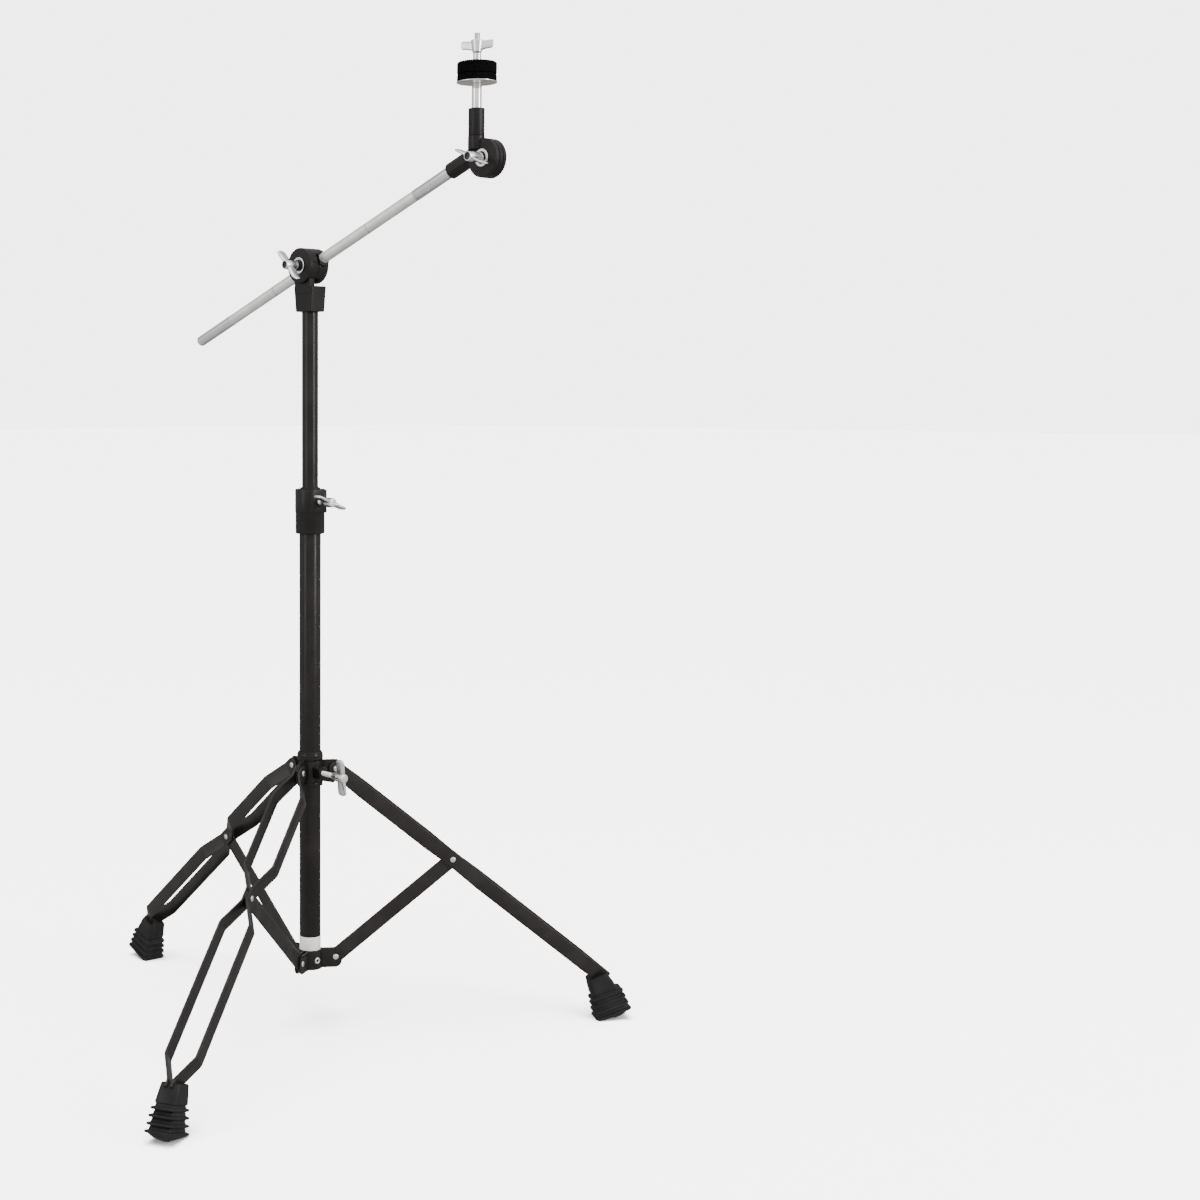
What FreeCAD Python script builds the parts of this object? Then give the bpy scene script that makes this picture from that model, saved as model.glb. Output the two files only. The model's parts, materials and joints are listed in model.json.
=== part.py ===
import FreeCAD, Part
import math
import os
import Sketcher

# Cymbal boom stand, millimetres. Origin on the base tube's axis at floor level, +Z up.
# +X is the way the boom reaches, so both tilters turn about axes along Y.

doc = FreeCAD.newDocument("cymbal_boom_stand")

DIMENSIONS = {
    # tubes
    "base_dia": 25.4, "base_wall": 1.5, "base_foot": 77.0, "base_head": 630.0,
    "upper_dia": 19.05, "upper_wall": 1.2, "upper_foot": 430.0, "upper_head": 884.0,
    "run_fit": 0.05, "face_gap": 0.3,
    # tripod linkage: both pivots of a leg stand off the tube by pivot_reach
    "pivot_reach": 30.8, "brace_pivot_high": 89.8, "link_length": 184.0, "leg_tilt": 51.1,
    "leg_heading": 54.8, "leg_spacing": 120.0,
    "strap_width": 18.0, "strap_thick": 2.5, "strap_bulge": 18.0, "strap_bend": 9.0,
    "leg_reach": 432.0, "loop_ease": 40.0, "upper_loop_start": 40.0, "lower_loop_end": 394.0,
    "rivet_dia": 5.0, "rivet_head_dia": 7.0, "rivet_head_high": 1.3, "collar_rivet_gap": 0.1,
    "strap_flat": 9.0, "foot_seam": 3.4,
    # rubber feet: a block that leans outward on four ribs and a crowned sole
    "foot_lean": 19.0, "foot_reach": 371.0, "foot_high": 7.0, "rib_pitch": 8.0, "rib_half": 1.4,
    "sole_radius": 36.0, "sole_drop": 9.4, "sole_shift": 4.0, "foot_corner": 4.0,
    # leg bracket, label and collar
    "bracket_foot": 77.0, "bracket_head": 100.0, "sheet_thick": 1.5, "ear_thick": 2.5,
    "ear_end": 38.3, "ear_corner": 8.0, "label_foot": 100.5, "label_head": 117.0, "label_thick": 0.15,
    "collar_foot": 301.5, "collar_head": 341.0, "collar_dia": 30.9, "collar_ear_foot": 305.0,
    "collar_ear_head": 332.0, "collar_ear_thick": 4.0, "collar_rim": 9.0, "collar_rim_low": 4.5,
    "pivot_high": 320.89, "bolt_heading": -5.2, "bolt_drop": 1.5, "bolt_dia": 6.0, "bolt_hole_dia": 6.8,
    "collar_bore_gap": 1.45, "bush_lip": 1.5, "collar_web_width": 18.0, "collar_nut_width": 13.0,
    # height clamp
    "clamp_foot": 603.0, "clamp_step": 628.0, "clamp_head": 655.5, "clamp_dia": 34.4,
    "clamp_boss_wide": 20.6, "clamp_boss_reach": 19.7, "clamp_bolt_high": 641.0,
    "clamp_nut_start": 13.6, "clamp_nut_depth": 4.5, "clamp_nut_width": 11.0, "clamp_bead": 0.5,
    "bush_foot": 585.0, "bush_flange_dia": 24.0, "bush_flange_thick": 1.8,
    # lower tilter
    "socket_foot": 861.7, "socket_head": 891.0, "socket_foot_x": 26.6, "socket_foot_y": 23.2,
    "socket_head_x": 31.2, "socket_head_y": 24.6, "socket_chamfer": 2.5,
    "disc_dia": 40.6, "tilt_high": 914.3, "disc_front": 17.0, "disc_joint": 4.5, "clamp_back": 11.2,
    "eye_pocket_dia": 19.4, "eye_pocket_deep": 1.9,
    "arm_plane": 2.4, "tilter_bolt_dia": 8.0, "washer_dia": 18.6, "washer_thick": 1.6,
    "neck_width": 24.0, "apron_high": 14.0, "eye_half": 4.6, "eye_wall": 1.5, "eye_gap": 0.3,
    "mouth_start": 14.0, "mouth_flare": 2.0,
    # boom arm
    "arm_dia": 12.7, "arm_rise": 21.7, "arm_tail": 220.0, "arm_root": 282.0,
    "knurl_dia": 12.62, "knurl_tail": 153.0, "knurl_root": 183.7,
    # arm's top end and cymbal post
    "top_x": 283.2, "top_high": 1010.5, "top_front": 14.0, "top_joint": 6.0, "top_back": 1.8,
    "arm_socket_start": 240.0, "arm_socket_end": 283.0, "arm_socket_dia": 17.8,
    "post_x": 272.0, "post_plane": 11.0, "post_boss_foot": 1020.5, "post_boss_head": 1034.0,
    "post_boss_dia": 17.6, "post_sleeve_dia": 17.0, "post_sleeve_head": 1062.2,
    "post_rod_dia": 10.4, "post_socket_floor": 2.5, "post_shoulder": 1088.0,
    "stud_dia": 6.0, "stud_head": 1139.0,
    "cup_dia": 42.6, "cup_thick": 1.2, "lower_felt_thick": 7.6, "upper_felt_thick": 12.4,
    "felt_dia": 41.8, "felt_bore": 8.8,
    # wing fasteners, the tilters' bolts and the pins
    "wing_span": 23.0, "wing_thick": 3.0, "small_wing_span": 17.8, "small_wing_thick": 2.6,
    "hub_reach": 22.6, "hub_hollow": 1.5, "bolt_head_high": 4.5, "bolt_head_dia": 14.0, "washer_gap": 0.3,
    "height_wing_low": 31.0, "height_wing_high": 44.0, "height_hub_end": 45.0, "height_bolt_roll": 63.0,
    "collar_wing_low": 53.0, "collar_wing_high": 67.0, "collar_hub_end": 68.0,
    "lower_nut_roll": -47.0, "top_nut_roll": -23.0, "cymbal_nut_turn": 23.0,
    "band_rivet_dia": 3.2, "band_rivet_head_dia": 8.0, "band_rivet_head_high": 1.5,
    "roll_pin_dia": 4.0, "roll_pin_length": 20.0, "roll_pin_rise": 10.0,
}

sheet = doc.addObject("Spreadsheet::Sheet", "dims")
for row, (alias, value) in enumerate(DIMENSIONS.items(), start=1):
    sheet.set("A%d" % row, alias)
    sheet.set("B%d" % row, str(value))
    sheet.setAlias("B%d" % row, alias)
doc.recompute()

NODES = []
THROUGH = 60.0  # length of a bar that cuts right through any piece


def size(alias):
    """The value of one cell of the sheet."""
    return float(sheet.get(alias))


def vec(x, y, z):
    return FreeCAD.Vector(x, y, z)


def node(obj, label):
    """Names an object as one sub-part of the stand."""
    obj.Label = label
    NODES.append(obj)
    return obj


def place(obj, x=0.0, y=0.0, z=0.0, axis=(0, 0, 1), angle=0.0):
    obj.Placement = FreeCAD.Placement(vec(x, y, z), FreeCAD.Rotation(vec(*axis), angle))
    return obj


def cylinder(radius, height, x="0", y="0", z="0", axis=(0, 0, 1), angle=0.0):
    """A round bar whose radius, height and foot are bound to the sheet."""
    bar = doc.addObject("Part::Cylinder", "Bar")
    place(bar, axis=axis, angle=angle)
    bar.setExpression("Radius", radius)
    bar.setExpression("Height", height)
    bar.setExpression("Placement.Base.x", x)
    bar.setExpression("Placement.Base.y", y)
    bar.setExpression("Placement.Base.z", z)
    return bar


def box(length, width, height, x="0", y="0", z="0"):
    """A block whose sides and low corner are bound to the sheet."""
    block = doc.addObject("Part::Box", "Block")
    block.setExpression("Length", length)
    block.setExpression("Width", width)
    block.setExpression("Height", height)
    block.setExpression("Placement.Base.x", x)
    block.setExpression("Placement.Base.y", y)
    block.setExpression("Placement.Base.z", z)
    return block


def fuse(*pieces):
    joined = doc.addObject("Part::MultiFuse", "Joined")
    joined.Shapes = list(pieces)
    joined.Refine = True
    return joined


def cut(base, *tools):
    tool = tools[0] if len(tools) == 1 else fuse(*tools)
    result = doc.addObject("Part::Cut", "Cut")
    result.Base = base
    result.Tool = tool
    return result


def common(first, second):
    result = doc.addObject("Part::Common", "Shared")
    result.Base = first
    result.Tool = second
    return result


def pipe(outer, inner, foot, height):
    return cut(cylinder(outer, height, z=foot), cylinder(inner, height, z=foot))


def rounded_outline(points, radii):
    """Lines and arcs round a closed outline, one corner radius per point."""
    count = len(points)
    starts, ends, arcs = [], [], []
    for index, radius in enumerate(radii):
        here = vec(points[index][0], points[index][1], 0)
        before = vec(points[index - 1][0], points[index - 1][1], 0) - here
        after = vec(points[(index + 1) % count][0], points[(index + 1) % count][1], 0) - here
        before.normalize()
        after.normalize()
        if radius == 0 or (before + after).Length < 1e-6:
            starts.append(here)
            ends.append(here)
            arcs.append(None)
            continue
        half = before.getAngle(after) / 2
        back = radius / math.tan(half)
        middle_way = before + after
        middle_way.normalize()
        centre = here + middle_way * (radius / math.sin(half))
        starts.append(here + before * back)
        ends.append(here + after * back)
        arcs.append(centre - middle_way * radius)
    edges = []
    for index in range(count):
        if arcs[index] is not None:
            edges.append(Part.Arc(starts[index], arcs[index], ends[index]))
        following = (index + 1) % count
        if (starts[following] - ends[index]).Length > 1e-6:
            edges.append(Part.LineSegment(ends[index], starts[following]))
    return edges


def sketch_of(edges, placement=None):
    drawing = doc.addObject("Sketcher::SketchObject", "Outline")
    drawing.addGeometry(edges, False)
    if placement is not None:
        drawing.Placement = placement
    return drawing


def plate(edges, thickness, placement=None):
    """A flat plate: an outline drawn on XY, thickened both ways by a bound amount."""
    slab = doc.addObject("Part::Extrusion", "Plate")
    slab.Base = sketch_of(edges, placement)
    slab.DirMode = "Normal"
    slab.Solid = True
    slab.Symmetric = True
    slab.setExpression("LengthFwd", thickness)
    return slab


def turned(profile):
    """A turned piece about Z: a body with one revolved sketch of (radius, height) points."""
    body = doc.addObject("PartDesign::Body", "Turned")
    drawing = body.newObject("Sketcher::SketchObject", "Profile")
    planes = {feature.Role: feature for feature in body.Origin.OriginFeatures}
    drawing.AttachmentSupport = [(planes["XZ_Plane"], "")]
    drawing.MapMode = "FlatFace"
    drawing.addGeometry(rounded_outline([point[:2] for point in profile],
                                        [point[2] if len(point) > 2 else 0 for point in profile]), False)
    spin = body.newObject("PartDesign::Revolution", "Revolution")
    spin.Profile = drawing
    spin.ReferenceAxis = (planes["Z_Axis"], [""])
    spin.Angle = 360.0
    body.Tip = spin
    return body


def upright(angle=0.0):
    """Stands an XY outline up in the XZ plane, then turns it about Z."""
    lift = FreeCAD.Rotation(vec(1, 0, 0), 90)
    return FreeCAD.Placement(vec(0, 0, 0), FreeCAD.Rotation(vec(0, 0, 1), angle) * lift)


def turned_about_z(obj, angle):
    """A copy of a solid turned about the tube's axis."""
    link = doc.addObject("Part::Compound", "Turn")
    link.Links = [obj]
    place(link, angle=angle)
    return link


def headings():
    return [size("leg_heading") + size("leg_spacing") * index for index in range(3)]


# ---------------------------------------------------------------- base tube and leg bracket
node(pipe("dims.base_dia / 2", "dims.base_dia / 2 - dims.base_wall", "dims.base_foot",
          "dims.base_head - dims.base_foot"), "base_tube")

node(pipe("dims.base_dia / 2 + dims.label_thick", "dims.base_dia / 2", "dims.label_foot",
          "dims.label_head - dims.label_foot"), "label_band")


def ear_outline(foot, head, inner):
    """An ear seen from its side: square at the tube, round-cornered at its tip."""
    tip, corner = size("ear_end"), size("ear_corner")
    return rounded_outline([(inner, foot), (tip, foot), (tip, head), (inner, head)],
                           [0, corner, corner, 0])


def ear(foot, head, inner, thickness, offset, heading):
    """One ear plate, standing in the leg's radial plane, offset to one side of it."""
    slab = plate(ear_outline(foot, head, inner), thickness, upright())
    aside = vec(0, offset, 0)
    turn = FreeCAD.Rotation(vec(0, 0, 1), heading)
    slab.Placement = FreeCAD.Placement(turn.multVec(aside), turn)
    return slab


def cross_hole(radius, reach, high, heading):
    """A bar across a leg's radial plane at a pivot, long enough to pass through both sides."""
    bar = doc.addObject("Part::Cylinder", "PivotBar")
    turn = FreeCAD.Rotation(vec(0, 0, 1), heading)
    start = turn.multVec(vec(reach, THROUGH / 2, high))
    bar.setExpression("Radius", radius)
    bar.Height = THROUGH
    bar.Placement = FreeCAD.Placement(start, turn * FreeCAD.Rotation(vec(1, 0, 0), 90))
    return bar


EAR_SIDE = size("strap_thick") / 2 + size("face_gap") + size("ear_thick") / 2
bracket_pieces = [cylinder("dims.base_dia / 2 + dims.sheet_thick", "dims.bracket_head - dims.bracket_foot",
                           z="dims.bracket_foot")]
bracket_holes = [cylinder("dims.base_dia / 2", "dims.bracket_head - dims.bracket_foot",
                          z="dims.bracket_foot")]
for heading in headings():
    for side in (-1, 1):
        bracket_pieces.append(ear(size("bracket_foot"), size("bracket_head"), size("base_dia") / 2,
                                  "dims.ear_thick", side * EAR_SIDE, heading))
    bracket_holes.append(cross_hole("dims.rivet_dia / 2", size("pivot_reach"),
                                    size("brace_pivot_high"), heading))
node(cut(fuse(*bracket_pieces), *bracket_holes), "leg_bracket")


def rivet(half_stack, heading, reach, high):
    """A solid rivet across a pivot: a shank and two domed heads on the outer faces."""
    shank, head, high_head = size("rivet_dia") / 2, size("rivet_head_dia") / 2, size("rivet_head_high")
    end = half_stack + high_head
    crown = head * 0.55
    body = turned([(0, -end), (crown, -end), (head, -half_stack), (shank, -half_stack),
                   (shank, half_stack), (head, half_stack), (crown, end), (0, end)])
    turn = FreeCAD.Rotation(vec(0, 0, 1), heading)
    body.Placement = FreeCAD.Placement(turn.multVec(vec(reach, 0, high)),
                                       turn * FreeCAD.Rotation(vec(1, 0, 0), 90))
    return body


def group(label, pieces):
    together = doc.addObject("Part::Compound", "Group")
    together.Links = pieces
    return node(together, label)


group("brace_pivot_rivets", [rivet(EAR_SIDE + size("ear_thick") / 2, heading, size("pivot_reach"),
                                   size("brace_pivot_high")) for heading in headings()])

# Short rivets hold the bracket's band to the tube, midway between the legs.
BAND_OUTER = size("base_dia") / 2 + size("sheet_thick")
TUBE_INNER = size("base_dia") / 2 - size("base_wall")


def band_rivet(heading):
    shank, head = size("band_rivet_dia") / 2, size("band_rivet_head_dia") / 2
    seat = BAND_OUTER - 0.3
    end = seat + size("band_rivet_head_high")
    body = turned([(0, TUBE_INNER), (shank, TUBE_INNER), (shank, seat), (head, seat), (head * 0.8, end),
                   (0, end)])
    turn = FreeCAD.Rotation(vec(0, 0, 1), heading)
    high = (size("bracket_foot") + size("bracket_head")) / 2
    body.Placement = FreeCAD.Placement(vec(0, 0, high), turn * FreeCAD.Rotation(vec(0, 1, 0), 90))
    return body


between_legs = [size("bolt_heading") + size("leg_spacing") * index for index in range(3)]
group("bracket_band_rivets", [band_rivet(heading) for heading in between_legs])

# The tube and the band are drilled for the short rivets.
for label in ("base_tube", "leg_bracket"):
    drilled = [obj for obj in NODES if obj.Label == label][0]
    NODES.remove(drilled)
    drilled.Label = label + "_undrilled"
    node(cut(drilled, *[band_rivet(heading) for heading in between_legs]), label)

# ---------------------------------------------------------------- leg collar
collar_pieces = [
    cylinder("dims.collar_dia / 2", "dims.collar_rim", z="dims.collar_head - dims.collar_rim"),
    cylinder("dims.collar_dia / 2", "dims.collar_rim_low", z="dims.collar_foot"),
]
collar_holes = [cylinder("dims.base_dia / 2 + dims.collar_bore_gap", "dims.collar_head - dims.collar_foot",
                         z="dims.collar_foot")]
for heading in headings():
    collar_pieces.append(ear(size("collar_ear_foot") - 1, size("collar_ear_head") + 1,
                             size("base_dia") / 2, "dims.collar_ear_thick", 0, heading))
    collar_holes.append(cross_hole("dims.rivet_dia / 2", size("pivot_reach"), size("pivot_high"), heading))


def radial_bar(radius, start, length, high, heading):
    """A bar that points straight out from the tube's axis."""
    bar = doc.addObject("Part::Cylinder", "RadialBar")
    turn = FreeCAD.Rotation(vec(0, 0, 1), heading)
    bar.Radius = radius
    bar.Height = length
    bar.Placement = FreeCAD.Placement(turn.multVec(vec(start, 0, high)),
                                      turn * FreeCAD.Rotation(vec(0, 1, 0), 90))
    return bar


web = box("dims.collar_dia / 2", "dims.collar_web_width", "dims.collar_head - dims.collar_foot - 2",
          y="-dims.collar_web_width / 2", z="dims.collar_foot + 1")
web_trim = cylinder("dims.collar_dia / 2 - 0.2", "dims.collar_head", z="0")
collar_pieces.append(turned_about_z(common(web, web_trim), size("bolt_heading")))
BOLT_HOLE = size("bolt_hole_dia") / 2
COLLAR_BOLT_HIGH = size("pivot_high") - size("bolt_drop")
collar_holes.append(radial_bar(BOLT_HOLE, 5, 20, COLLAR_BOLT_HIGH, size("bolt_heading")))
node(cut(fuse(*collar_pieces), *collar_holes), "leg_collar")

bush = pipe("dims.base_dia / 2 + dims.collar_bore_gap", "dims.base_dia / 2 + dims.run_fit",
            "dims.collar_foot", "dims.collar_head - dims.collar_foot + dims.bush_lip")
node(cut(bush, radial_bar(BOLT_HOLE, 5, 20, COLLAR_BOLT_HIGH, size("bolt_heading"))), "collar_bush")

# A square weld nut on the collar's web takes the clamping bolt.

def square_nut(start, depth, across, high, heading):
    block = doc.addObject("Part::Box", "NutBlock")
    block.Length = depth
    block.Width = across
    block.Height = across
    turn = FreeCAD.Rotation(vec(0, 0, 1), heading)
    block.Placement = FreeCAD.Placement(turn.multVec(vec(start, -across / 2, high - across / 2)), turn)
    bore = size("bolt_dia") / 2 + size("run_fit")
    return cut(block, radial_bar(bore, start - 5, depth + 10, high, heading))


collar_nut = square_nut(12, 15.0, size("collar_nut_width"), COLLAR_BOLT_HIGH, size("bolt_heading"))
node(cut(collar_nut, cylinder("dims.collar_dia / 2 - 0.2", "dims.collar_head")), "collar_nut")

COLLAR_STACK = size("collar_ear_thick") / 2 + size("face_gap") + size("strap_thick") \
    + size("collar_rivet_gap")
group("collar_pivot_rivets", [rivet(COLLAR_STACK, heading, size("pivot_reach"), size("pivot_high"))
                              for heading in headings()])

# ---------------------------------------------------------------- legs and braces


def leg_placement(heading, high, tilt):
    """Frame of a strap: X runs along it from its pivot, Y is across the leg's radial plane."""
    turn = FreeCAD.Rotation(vec(0, 0, 1), heading)
    dip = FreeCAD.Rotation(vec(0, 1, 0), tilt)
    return FreeCAD.Placement(turn.multVec(vec(size("pivot_reach"), 0, high)), turn * dip)


def strip_outline(path, radius, thickness):
    """Closed outline of a bent strip seen on its edge: both faces run parallel to the path."""
    def face(side):
        shifted = []
        count = len(path)
        for index in range(count):
            ways = []
            for low, high in ((index - 1, index), (index, index + 1)):
                if low >= 0 and high < count:
                    run = vec(path[high][0] - path[low][0], path[high][1] - path[low][1], 0)
                    run.normalize()
                    ways.append(vec(-run.y, run.x, 0))
            normal = ways[0] if len(ways) == 1 else ways[0] + ways[1]
            normal.normalize()
            reach = thickness / 2 / normal.dot(ways[0])
            shifted.append((path[index][0] + side * reach * normal.x,
                            path[index][1] + side * reach * normal.y))
        return shifted

    def turn_side(index):
        ax, ay = path[index][0] - path[index - 1][0], path[index][1] - path[index - 1][1]
        bx, by = path[index + 1][0] - path[index][0], path[index + 1][1] - path[index][1]
        return 1 if ax * by - ay * bx > 0 else -1

    left, right = face(1), face(-1)
    left_radii, right_radii = [0], [0]
    for index in range(1, len(path) - 1):
        grow = thickness / 2 * turn_side(index)
        left_radii.append(radius - grow)
        right_radii.append(radius + grow)
    left_radii.append(0)
    right_radii.append(0)
    return rounded_outline(left + right[::-1], left_radii + right_radii[::-1])


def strap(path, length, holes, heading, high, tilt):
    """A bent flat strap with half-round ends and rivet holes."""
    half = size("strap_width") / 2
    blank = plate(strip_outline(path, size("strap_bend"), size("strap_thick")), "dims.strap_width")
    round_ends = rounded_outline([(-half, -half), (length, -half), (length, half), (-half, half)],
                                 [half - 0.05] * 4)
    deep = plate(round_ends, "%f" % THROUGH, upright())
    shaped = common(blank, deep)
    bars = []
    for position in holes:
        bar = doc.addObject("Part::Cylinder", "StrapHole")
        bar.setExpression("Radius", "dims.rivet_dia / 2 + dims.run_fit")
        bar.Height = THROUGH
        bar.Placement = FreeCAD.Placement(vec(position, THROUGH / 2, 0), FreeCAD.Rotation(vec(1, 0, 0), 90))
        bars.append(bar)
    finished = cut(shaped, *bars)
    finished.Placement = leg_placement(heading, high, tilt)
    return finished


def leg_path(side):
    """Middle line of one leg strap: it closes in at the pivot, the middle rivet and the foot."""
    top = size("collar_ear_thick") / 2 + size("face_gap") + size("strap_thick") / 2
    middle = size("strap_thick") + size("face_gap")
    wide, ease, link = size("strap_bulge"), size("loop_ease"), size("link_length")
    flat, seam = size("strap_flat"), size("foot_seam")
    points = [(-size("strap_width") / 2 - 1, top), (flat, top), (size("upper_loop_start"), wide),
              (link - ease, wide), (link - flat, middle), (link + flat, middle), (link + ease, wide),
              (size("lower_loop_end"), wide), (size("leg_reach") - flat, seam), (size("leg_reach") + 1, seam)]
    return [(x, side * y) for x, y in points]


TILT_DOWN = 90 - size("leg_tilt")


def foot_frame(heading):
    """Frame of a rubber foot: Z up its leaning axis, X outward, origin at its lowest rib."""
    turn = FreeCAD.Rotation(vec(0, 0, 1), heading)
    lean = FreeCAD.Rotation(vec(0, 1, 0), -size("foot_lean"))
    return FreeCAD.Placement(turn.multVec(vec(size("foot_reach"), 0, size("foot_high"))), turn * lean)


def slab_between(low, high, section_low, section_high):
    """A tapering block of the foot between two levels.

    A section is its half size outward, its half size across and its shift outward.
    """
    wires = []
    for level, (out, across, shift) in ((low, section_low), (high, section_high)):
        corners = [(shift - out, -across), (shift + out, -across), (shift + out, across),
                   (shift - out, across)]
        edges = rounded_outline(corners, [size("foot_corner")] * 4)
        wires.append(sketch_of(edges, FreeCAD.Placement(vec(0, 0, level), FreeCAD.Rotation())))
    loft = doc.addObject("Part::Loft", "Block")
    loft.Sections = wires
    loft.Solid = True
    loft.Ruled = True
    return loft


def foot(heading, straps):
    """A ribbed rubber foot with a crowned sole that stands flat on a small patch."""
    core = slab_between(-1.0, 31.0, (20.3, 14.0, 4.7), (15.1, 11.8, 3.5))
    head = slab_between(29.5, 50.0, (16.4, 13.0, 3.2), (12.4, 11.6, 0.8))
    pitch, half = size("rib_pitch"), size("rib_half")
    ribs = []
    for index in range(4):
        rim = (23.3 - index * 0.8, 17.0 - index * 0.9, 4.6)
        ribs.append(slab_between(pitch * index - half, pitch * index + half, rim, rim))
    sole_radius = size("sole_radius")
    sole = doc.addObject("Part::Sphere", "Sole")
    sole.Radius = sole_radius
    place(sole, x=size("sole_shift"), z=sole_radius - size("sole_drop"))
    crown = common(sole, slab_between(-10.5, 0.5, (20.0, 15.0, 4.6), (22.6, 16.6, 4.6)))
    blank = fuse(core, head, crown, *ribs)
    blank.Placement = foot_frame(heading)
    floor = doc.addObject("Part::Box", "Floor")
    floor.Length = 1000
    floor.Width = 1000
    floor.Height = 50
    place(floor, x=-500, y=-500, z=-50)
    return cut(blank, floor, *straps)


LINK = size("link_length")
for letter, heading in zip("cab", headings()):
    both = []
    for name, side in (("left", 1), ("right", -1)):
        one = strap(leg_path(side), size("leg_reach"), [0, LINK], heading, size("pivot_high"), TILT_DOWN)
        both.append(node(one, "leg_%s_strap_%s" % (letter, name)))
    node(foot(heading, both), "leg_%s_foot" % letter)
    stack = 1.5 * size("strap_thick") + size("face_gap")
    middle_reach = size("pivot_reach") + LINK * math.sin(math.radians(size("leg_tilt")))
    middle_high = size("brace_pivot_high") + LINK * math.cos(math.radians(size("leg_tilt")))
    node(rivet(stack, heading, middle_reach, middle_high), "leg_%s_rivet" % letter)
    brace_path = [(-size("strap_width"), 0), (LINK + size("strap_width"), 0)]
    node(strap(brace_path, LINK + size("strap_width") / 2, [0, LINK], heading,
               size("brace_pivot_high"), -TILT_DOWN), "brace_%s" % letter)

# ---------------------------------------------------------------- height clamp
CLAMP_HEADING = size("bolt_heading")
clamp_boss = box("dims.clamp_boss_reach", "dims.clamp_boss_wide", "dims.clamp_head - dims.clamp_step",
                 y="-dims.clamp_boss_wide / 2", z="dims.clamp_step")
sleeve = cylinder("dims.clamp_dia / 2", "dims.clamp_step - dims.clamp_foot", z="dims.clamp_foot")
crown = cylinder("dims.clamp_dia / 2 + dims.clamp_bead", "dims.clamp_head - dims.clamp_step",
                 z="dims.clamp_step")
clamp_blank = fuse(sleeve, crown, turned_about_z(clamp_boss, CLAMP_HEADING))
nut_start, nut_width = size("clamp_nut_start"), size("clamp_nut_width")
clamp_nut = square_nut(nut_start, size("clamp_nut_depth"), nut_width, size("clamp_bolt_high"), CLAMP_HEADING)
nut_pocket = doc.addObject("Part::Box", "NutPocket")
nut_pocket.setExpression("Length", "dims.clamp_nut_depth")
nut_pocket.setExpression("Width", "dims.clamp_nut_width")
nut_pocket.setExpression("Height", "dims.clamp_nut_width")
pocket_turn = FreeCAD.Rotation(vec(0, 0, 1), CLAMP_HEADING)
pocket_corner = vec(nut_start, -nut_width / 2, size("clamp_bolt_high") - nut_width / 2)
nut_pocket.Placement = FreeCAD.Placement(pocket_turn.multVec(pocket_corner), pocket_turn)
node(cut(clamp_blank,
         cylinder("dims.base_dia / 2", "dims.base_head - dims.clamp_foot", z="dims.clamp_foot"),
         cylinder("dims.base_dia / 2 - dims.base_wall", "%f" % THROUGH, z="dims.clamp_foot"),
         radial_bar(BOLT_HOLE, 5, 30, size("clamp_bolt_high"), CLAMP_HEADING), nut_pocket), "height_clamp")
node(clamp_nut, "height_clamp_nut")

bush_barrel = cylinder("dims.base_dia / 2 - dims.base_wall - dims.run_fit",
                       "dims.clamp_head - dims.bush_foot", z="dims.bush_foot")
bush_flange = cylinder("dims.bush_flange_dia / 2", "dims.bush_flange_thick", z="dims.clamp_head")
bush_bore = cylinder("dims.upper_dia / 2 + dims.run_fit", "100", z="dims.bush_foot")
node(cut(fuse(bush_barrel, bush_flange), bush_bore), "height_bush")

# ---------------------------------------------------------------- upper tube and lower tilter
node(pipe("dims.upper_dia / 2", "dims.upper_dia / 2 - dims.upper_wall", "dims.upper_foot",
          "dims.upper_head - dims.upper_foot"), "upper_tube")


def face_disc(radius, front, back, x, high):
    """A round disc that lies across Y between two planes, front being the -Y face."""
    disc = doc.addObject("Part::Cylinder", "Disc")
    disc.setExpression("Radius", radius)
    disc.Height = back - front
    disc.Placement = FreeCAD.Placement(vec(x, back, high), FreeCAD.Rotation(vec(1, 0, 0), 90))
    return disc


def socket_section(alias_x, alias_y, level):
    half_x, half_y = size(alias_x) / 2, size(alias_y) / 2
    corners = [(-half_x, -half_y), (half_x, -half_y), (half_x, half_y), (-half_x, half_y)]
    return sketch_of(rounded_outline(corners, [size("socket_chamfer")] * 4),
                     FreeCAD.Placement(vec(0, 0, level), FreeCAD.Rotation()))


TILT_HIGH = size("tilt_high")
socket = doc.addObject("Part::Loft", "Socket")
socket.Sections = [socket_section("socket_foot_x", "socket_foot_y", size("socket_foot")),
                   socket_section("socket_head_x", "socket_head_y", size("socket_head"))]
socket.Solid = True
socket.Ruled = True
fixed_disc = face_disc("dims.disc_dia / 2", -size("disc_front"), -size("disc_joint"), 0, TILT_HIGH)
neck = box("dims.neck_width", "dims.disc_front - dims.disc_joint - 3", "dims.neck_width",
           x="-dims.neck_width / 2", y="-dims.disc_front + 3", z="dims.socket_head - 10")
front_apron = box("dims.neck_width", "6", "dims.apron_high", x="-dims.neck_width / 2",
                  y="-dims.disc_front + 1", z="dims.socket_head - dims.apron_high + 2")
base_bore = cylinder("dims.upper_dia / 2", "dims.upper_head - dims.socket_foot", z="dims.socket_foot")
bolt_way = face_disc("dims.tilter_bolt_dia / 2 + dims.run_fit", -THROUGH, 0, 0, TILT_HIGH)
base_blank = fuse(socket, fixed_disc, neck, front_apron)
pin_high = size("socket_foot") + size("roll_pin_rise")


def roll_pin_bar(length):
    """A bar across the socket on the roll pin's axis."""
    bar = doc.addObject("Part::Cylinder", "RollPin")
    bar.setExpression("Radius", "dims.roll_pin_dia / 2")
    bar.Height = length
    bar.Placement = FreeCAD.Placement(vec(0, length / 2, pin_high), FreeCAD.Rotation(vec(1, 0, 0), 90))
    return bar


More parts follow.
